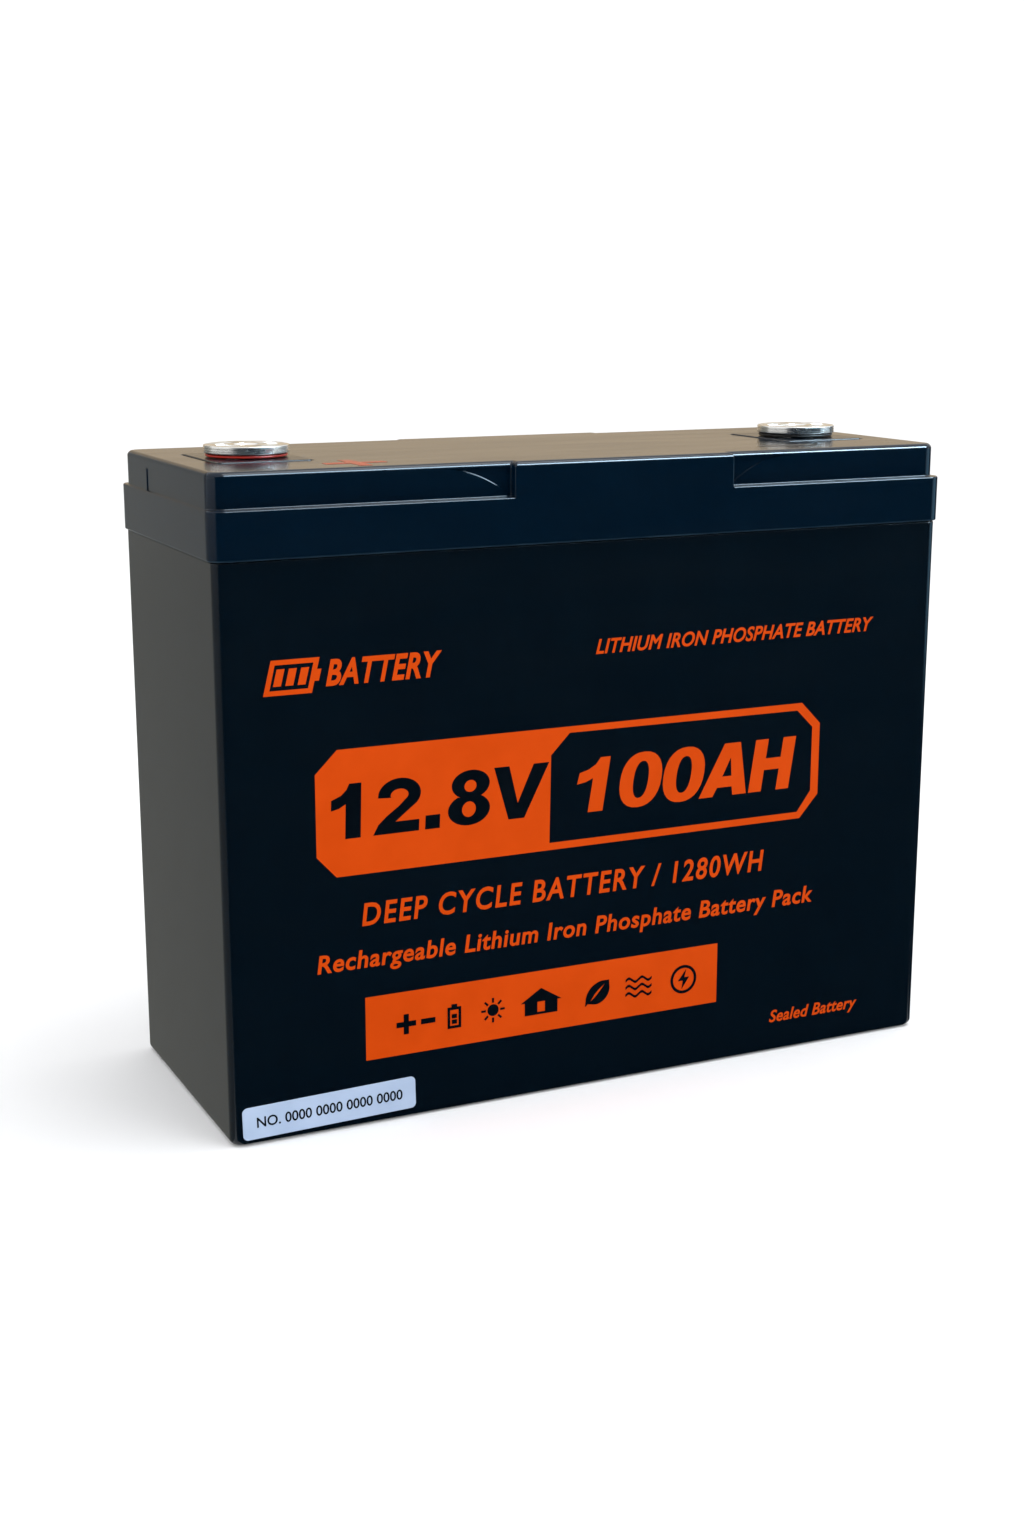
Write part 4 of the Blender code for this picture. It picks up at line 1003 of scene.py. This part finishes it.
plus_minus = [
    [(-5.2, -0.7), (-3.2, -0.7), (-3.2, -2.7), (-1.8, -2.7), (-1.8, -0.7), (0.2, -0.7), (0.2, 0.7)],
    block(1.6, -0.7, 5.6, 0.7),
]
plus_minus[0] += [(-1.8, 0.7), (-1.8, 2.7), (-3.2, 2.7), (-3.2, 0.7), (-5.2, 0.7)]
cell_picture = [
    [(-2.4, -4), (2.4, -4), (2.4, 3.2), (1.0, 3.2), (1.0, 4.2), (-1.0, 4.2), (-1.0, 3.2), (-2.4, 3.2)],
    block(-1.5, -3.1, 1.5, 2.3),
    block(-0.9, -2.5, 0.9, -1.1),
    block(-0.9, -0.6, 0.9, 0.8),
]
sun = [oval(0, 0, 2.0, 2.0)]
for i in range(8):
    turn = math.radians(45 * i)
    along = (math.cos(turn), math.sin(turn))
    ray = ((2.6, -0.35), (4.2, -0.35), (4.2, 0.35), (2.6, 0.35))
    sun.append([(along[0] * r - along[1] * w, along[1] * r + along[0] * w) for r, w in ray])
house = [
    [(-6, -4), (6, -4), (6, 0.4), (7.4, 0.4), (0, 5), (-7.4, 0.4), (-6, 0.4)],
    block(-1.4, -3.2, 1.4, 0.4),
]
leaf = [
    [(-4.4, -4.2), (-3.4, 0.6, True), (0.4, 3.8, True), (4.6, 4.2), (4.4, -0.4, True)],
    [(-2.6, -2.9), (0.2, -0.4, True), (3.2, 3.2), (-0.4, 0.2, True)],
]
leaf[0] += [(1.0, -3.6, True), (-3.4, -3.4)]
waves = []
for y in (-2.6, 0.0, 2.6):
    upper = [(-5 + i * 1.25, y + 0.45 + 0.7 * math.sin(math.pi * i / 2), True) for i in range(9)]
    lower = [(p[0], p[1] - 0.9, True) for p in reversed(upper)]
    waves.append([upper[0][:2], *upper[1:-1], upper[-1][:2], lower[0][:2], *lower[1:-1], lower[-1][:2]])
bolt = [
    oval(0, 0, 4.6, 4.6, steps=40),
    oval(0, 0, 3.7, 3.7, steps=40),
    [(-0.6, -3.1), (2.0, 0.6), (0.3, 0.6), (0.9, 3.1), (-1.9, -0.4), (-0.2, -0.4)],
]
marks = []
for picture, x, size in (
    (plus_minus, -67.0, 1.25),
    (cell_picture, -53.3, 1.0),
    (sun, -39.5, 1.0),
    (house, -22.0, 1.0),
    (leaf, -1.3, 1.0),
    (waves, 14.6, 1.0),
    (bolt, 32.0, 1.1),
):
    marks += placed(picture, x, BAND_MIDDLE, 0, size, size)
printed("pictogram_band", filled([block(*BAND)]))
printed("pictograms", filled(marks), "black_ink", BLACK_FILM + ORANGE_FILM)


# ---- Number label -------------------------------------------------------------------------------
# A pressure-sensitive label of white film low on the front, stuck on by hand a degree out of level,
# with a plain row of noughts where a maker would print the number.
LABEL_CORNER = 0.0017
LABEL_TILT = math.radians(1.2)
LABEL_SIZE = (58.4, 10.8)


def painted_shade_label_material():
    """Satin film, white but painted down to a blue-grey as shade, with a slight ripple from the glue under
    it.
    """
    made, tree, shader, place = start_material("label_film", (0.42, 0.53, 0.72), 0.34, gloss=0.45)
    # Painted shade: the white film's colour is given as a darker blue-grey.
    tone = clouds(tree, place, 60, 3.0)
    tree.links.new(shades(tree, tone, (0.40, 0.51, 0.69), (0.45, 0.56, 0.75)), shader.inputs["Base Color"])
    tree.links.new(between(tree, tone, 0.30, 0.40), shader.inputs["Roughness"])
    ripple = relief(tree, shader, clouds(tree, place, 130, 1.0), 0.00003)
    relief(tree, shader, clouds(tree, place, 3000, 1.0), 0.000003, ripple)
    return made


label_low, label_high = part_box("serial_label")
label_middle = (label_low + label_high) / 2
thickness = label_high.y - label_low.y
levels = []
for inset, rise in ((0, 0), (0, 0.6 * thickness), (0.3 * thickness, thickness)):
    half_x = LABEL_SIZE[0] * MM / 2 - inset
    half_z = LABEL_SIZE[1] * MM / 2 - inset
    levels.append((rounded_outline(half_x, half_z, LABEL_CORNER - inset, 8), rise))
label = make_piece("number_label", skinned(levels), painted_shade_label_material())
upright = Matrix.Translation((label_middle.x, label_high.y, label_middle.z))
upright @= Matrix.Rotation(-LABEL_TILT, 4, "Y")
label.data.transform(upright @ Matrix.Rotation(math.radians(90), 4, "X"))
fit_to_pack(label, "serial_label")

digits = line_of_words("NO. 0000 0000 0000 0000", -24.6, 24.6, -1.7, 3.4, 0.0, 0.014)
middle = (label_middle.x / MM, label_middle.z / MM)
printed("number_print", digits, "black_ink", ORANGE_FILM, label_low.y, LABEL_TILT, middle)


# ---- Polarity marks -----------------------------------------------------------------------------
# A red plus and a dark minus, printed with thin ink on the lid's top, in front of the terminals and
# a little nearer the lid's middle.
MARK_LENGTH = 0.020
MARK_STROKE = 0.004
MARK_Y = -0.0325
MARK_FILM = 0.00006
MARK_INWARDS = 0.024

red_ink = ink("red_ink", (0.34, 0.026, 0.006), (0.42, 0.036, 0.010), 0.26, 0.25)
pale_ink = ink("pale_ink", (0.012, 0.014, 0.016), (0.018, 0.020, 0.023), 0.30, 0.25)
long = MARK_LENGTH / 2
short = MARK_STROKE / 2
plus = [(-long, -short), (-short, -short), (-short, -long), (short, -long), (short, -short), (long, -short)]
plus += [(-x, -y) for x, y in plus]
for name, outline, pole, inwards, finish, slot in (
    ("plus_mark", plus, "positive", MARK_INWARDS, red_ink, "orange_ink"),
    ("minus_mark", block(-long, -short, long, short), "negative", -MARK_INWARDS, pale_ink, "black_ink"),
):
    shape = skinned([(outline, lid_top - MARK_FILM / 2), (outline, lid_top + MARK_FILM)])
    mark = make_piece(name, moved(shape, terminal_xs[pole] + inwards, MARK_Y), finish)
    mount(mark)


# ---- Inside the case ----------------------------------------------------------------------------
# Cells, bars, straps, board and packing keep their own solids, each in its real finish. Nothing of
# them shows while the case is shut.
def foam_material():
    """Closed-cell foam: small bubbles cut through at the surface."""
    made, tree, shader, place = start_material("closed_cell_foam", (0.035, 0.035, 0.038), 0.9)
    bubbles = tree.nodes.new("ShaderNodeTexVoronoi")
    bubbles.inputs["Scale"].default_value = 1400
    tree.links.new(place, bubbles.inputs["Vector"])
    distance = bubbles.outputs["Distance"]
    pores = shades(tree, distance, (0.020, 0.020, 0.022), (0.05, 0.05, 0.054), 0, 0.7)
    tree.links.new(pores, shader.inputs["Base Color"])
    relief(tree, shader, distance, 0.0003)
    return made


def fibre_sheet(name, dark, light, threads):
    """Woven glass in resin or tape: threads crossing at right angles under a clear skin."""
    made, tree, shader, place = start_material(name, light, 0.4)
    over = tree.nodes.new("ShaderNodeMath")
    over.operation = "MULTIPLY"
    for side, turn in enumerate((0, 90)):
        mapping = tree.nodes.new("ShaderNodeMapping")
        mapping.inputs["Rotation"].default_value = (math.radians(turn), 0, math.radians(turn))
        wave = tree.nodes.new("ShaderNodeTexWave")
        wave.inputs["Scale"].default_value = threads
        tree.links.new(place, mapping.inputs["Vector"])
        tree.links.new(mapping.outputs["Vector"], wave.inputs["Vector"])
        tree.links.new(wave.outputs["Fac"], over.inputs[side])
    weave = over.outputs["Value"]
    tree.links.new(shades(tree, weave, dark, light, 0.1, 0.9), shader.inputs["Base Color"])
    relief(tree, shader, weave, 0.00003)
    return made


def circuit_board_material():
    """Green solder mask over a pattern of copper tracks."""
    made, tree, shader, place = start_material("circuit_board", (0.01, 0.13, 0.05), 0.35)
    tracks = tree.nodes.new("ShaderNodeTexBrick")
    tracks.inputs["Scale"].default_value = 180
    tracks.inputs["Color1"].default_value = (0.008, 0.10, 0.038, 1)
    tracks.inputs["Color2"].default_value = (0.012, 0.14, 0.055, 1)
    tracks.inputs["Mortar"].default_value = (0.020, 0.21, 0.080, 1)
    tree.links.new(place, tracks.inputs["Vector"])
    tree.links.new(tracks.outputs["Color"], shader.inputs["Base Color"])
    relief(tree, shader, tracks.outputs["Fac"], 0.00002)
    return made


zinc = plated_metal("zinc_steel", (0.60, 0.61, 0.64), 0.24, 0.40)
copper = plated_metal("plated_copper", (0.82, 0.78, 0.72), 0.18, 0.34, (0.2, 1, 1))
sleeve = moulded_plastic("cell_sleeve", (0.020, 0.13, 0.36), (0.028, 0.16, 0.42), 0.24, 0.34, waves=0.0003)

# The first word that a node's name holds gives its finish.
finishes = {
    "balance_wire": rubber("wire_silicone", (0.36, 0.022, 0.014), (0.48, 0.032, 0.022), 0.42),
    "balance_connector": moulded_plastic("white_nylon", (0.70, 0.68, 0.62), (0.80, 0.78, 0.72), 0.35, 0.5),
    "_screw": zinc,
    "_nut": zinc,
    "busbar": copper,
    "strapping": fibre_sheet("strapping_tape", (0.45, 0.41, 0.29), (0.66, 0.62, 0.48), 260),
    "_strap": copper,
    "separator": fibre_sheet("glass_epoxy", (0.30, 0.35, 0.17), (0.44, 0.50, 0.26), 400),
    "_pad": foam_material(),
    "board_tray": moulded_plastic("tray_abs", (0.020, 0.020, 0.022), (0.030, 0.030, 0.033), 0.45, 0.6),
    "protection_board": circuit_board_material(),
    "heat_sink": plated_metal("aluminium", (0.72, 0.73, 0.75), 0.28, 0.42, (0.05, 1, 1)),
    "cell_": sleeve,
}
for name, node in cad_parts.items():
    if node.hide_render:
        continue
    node.data.materials.clear()
    node.data.materials.append(next(finish for word, finish in finishes.items() if word in name))


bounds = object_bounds()
sizes = {
    "frame": [list(corner) for corner in frame_bounds],
    "visual": [list(corner) for corner in bounds],
}
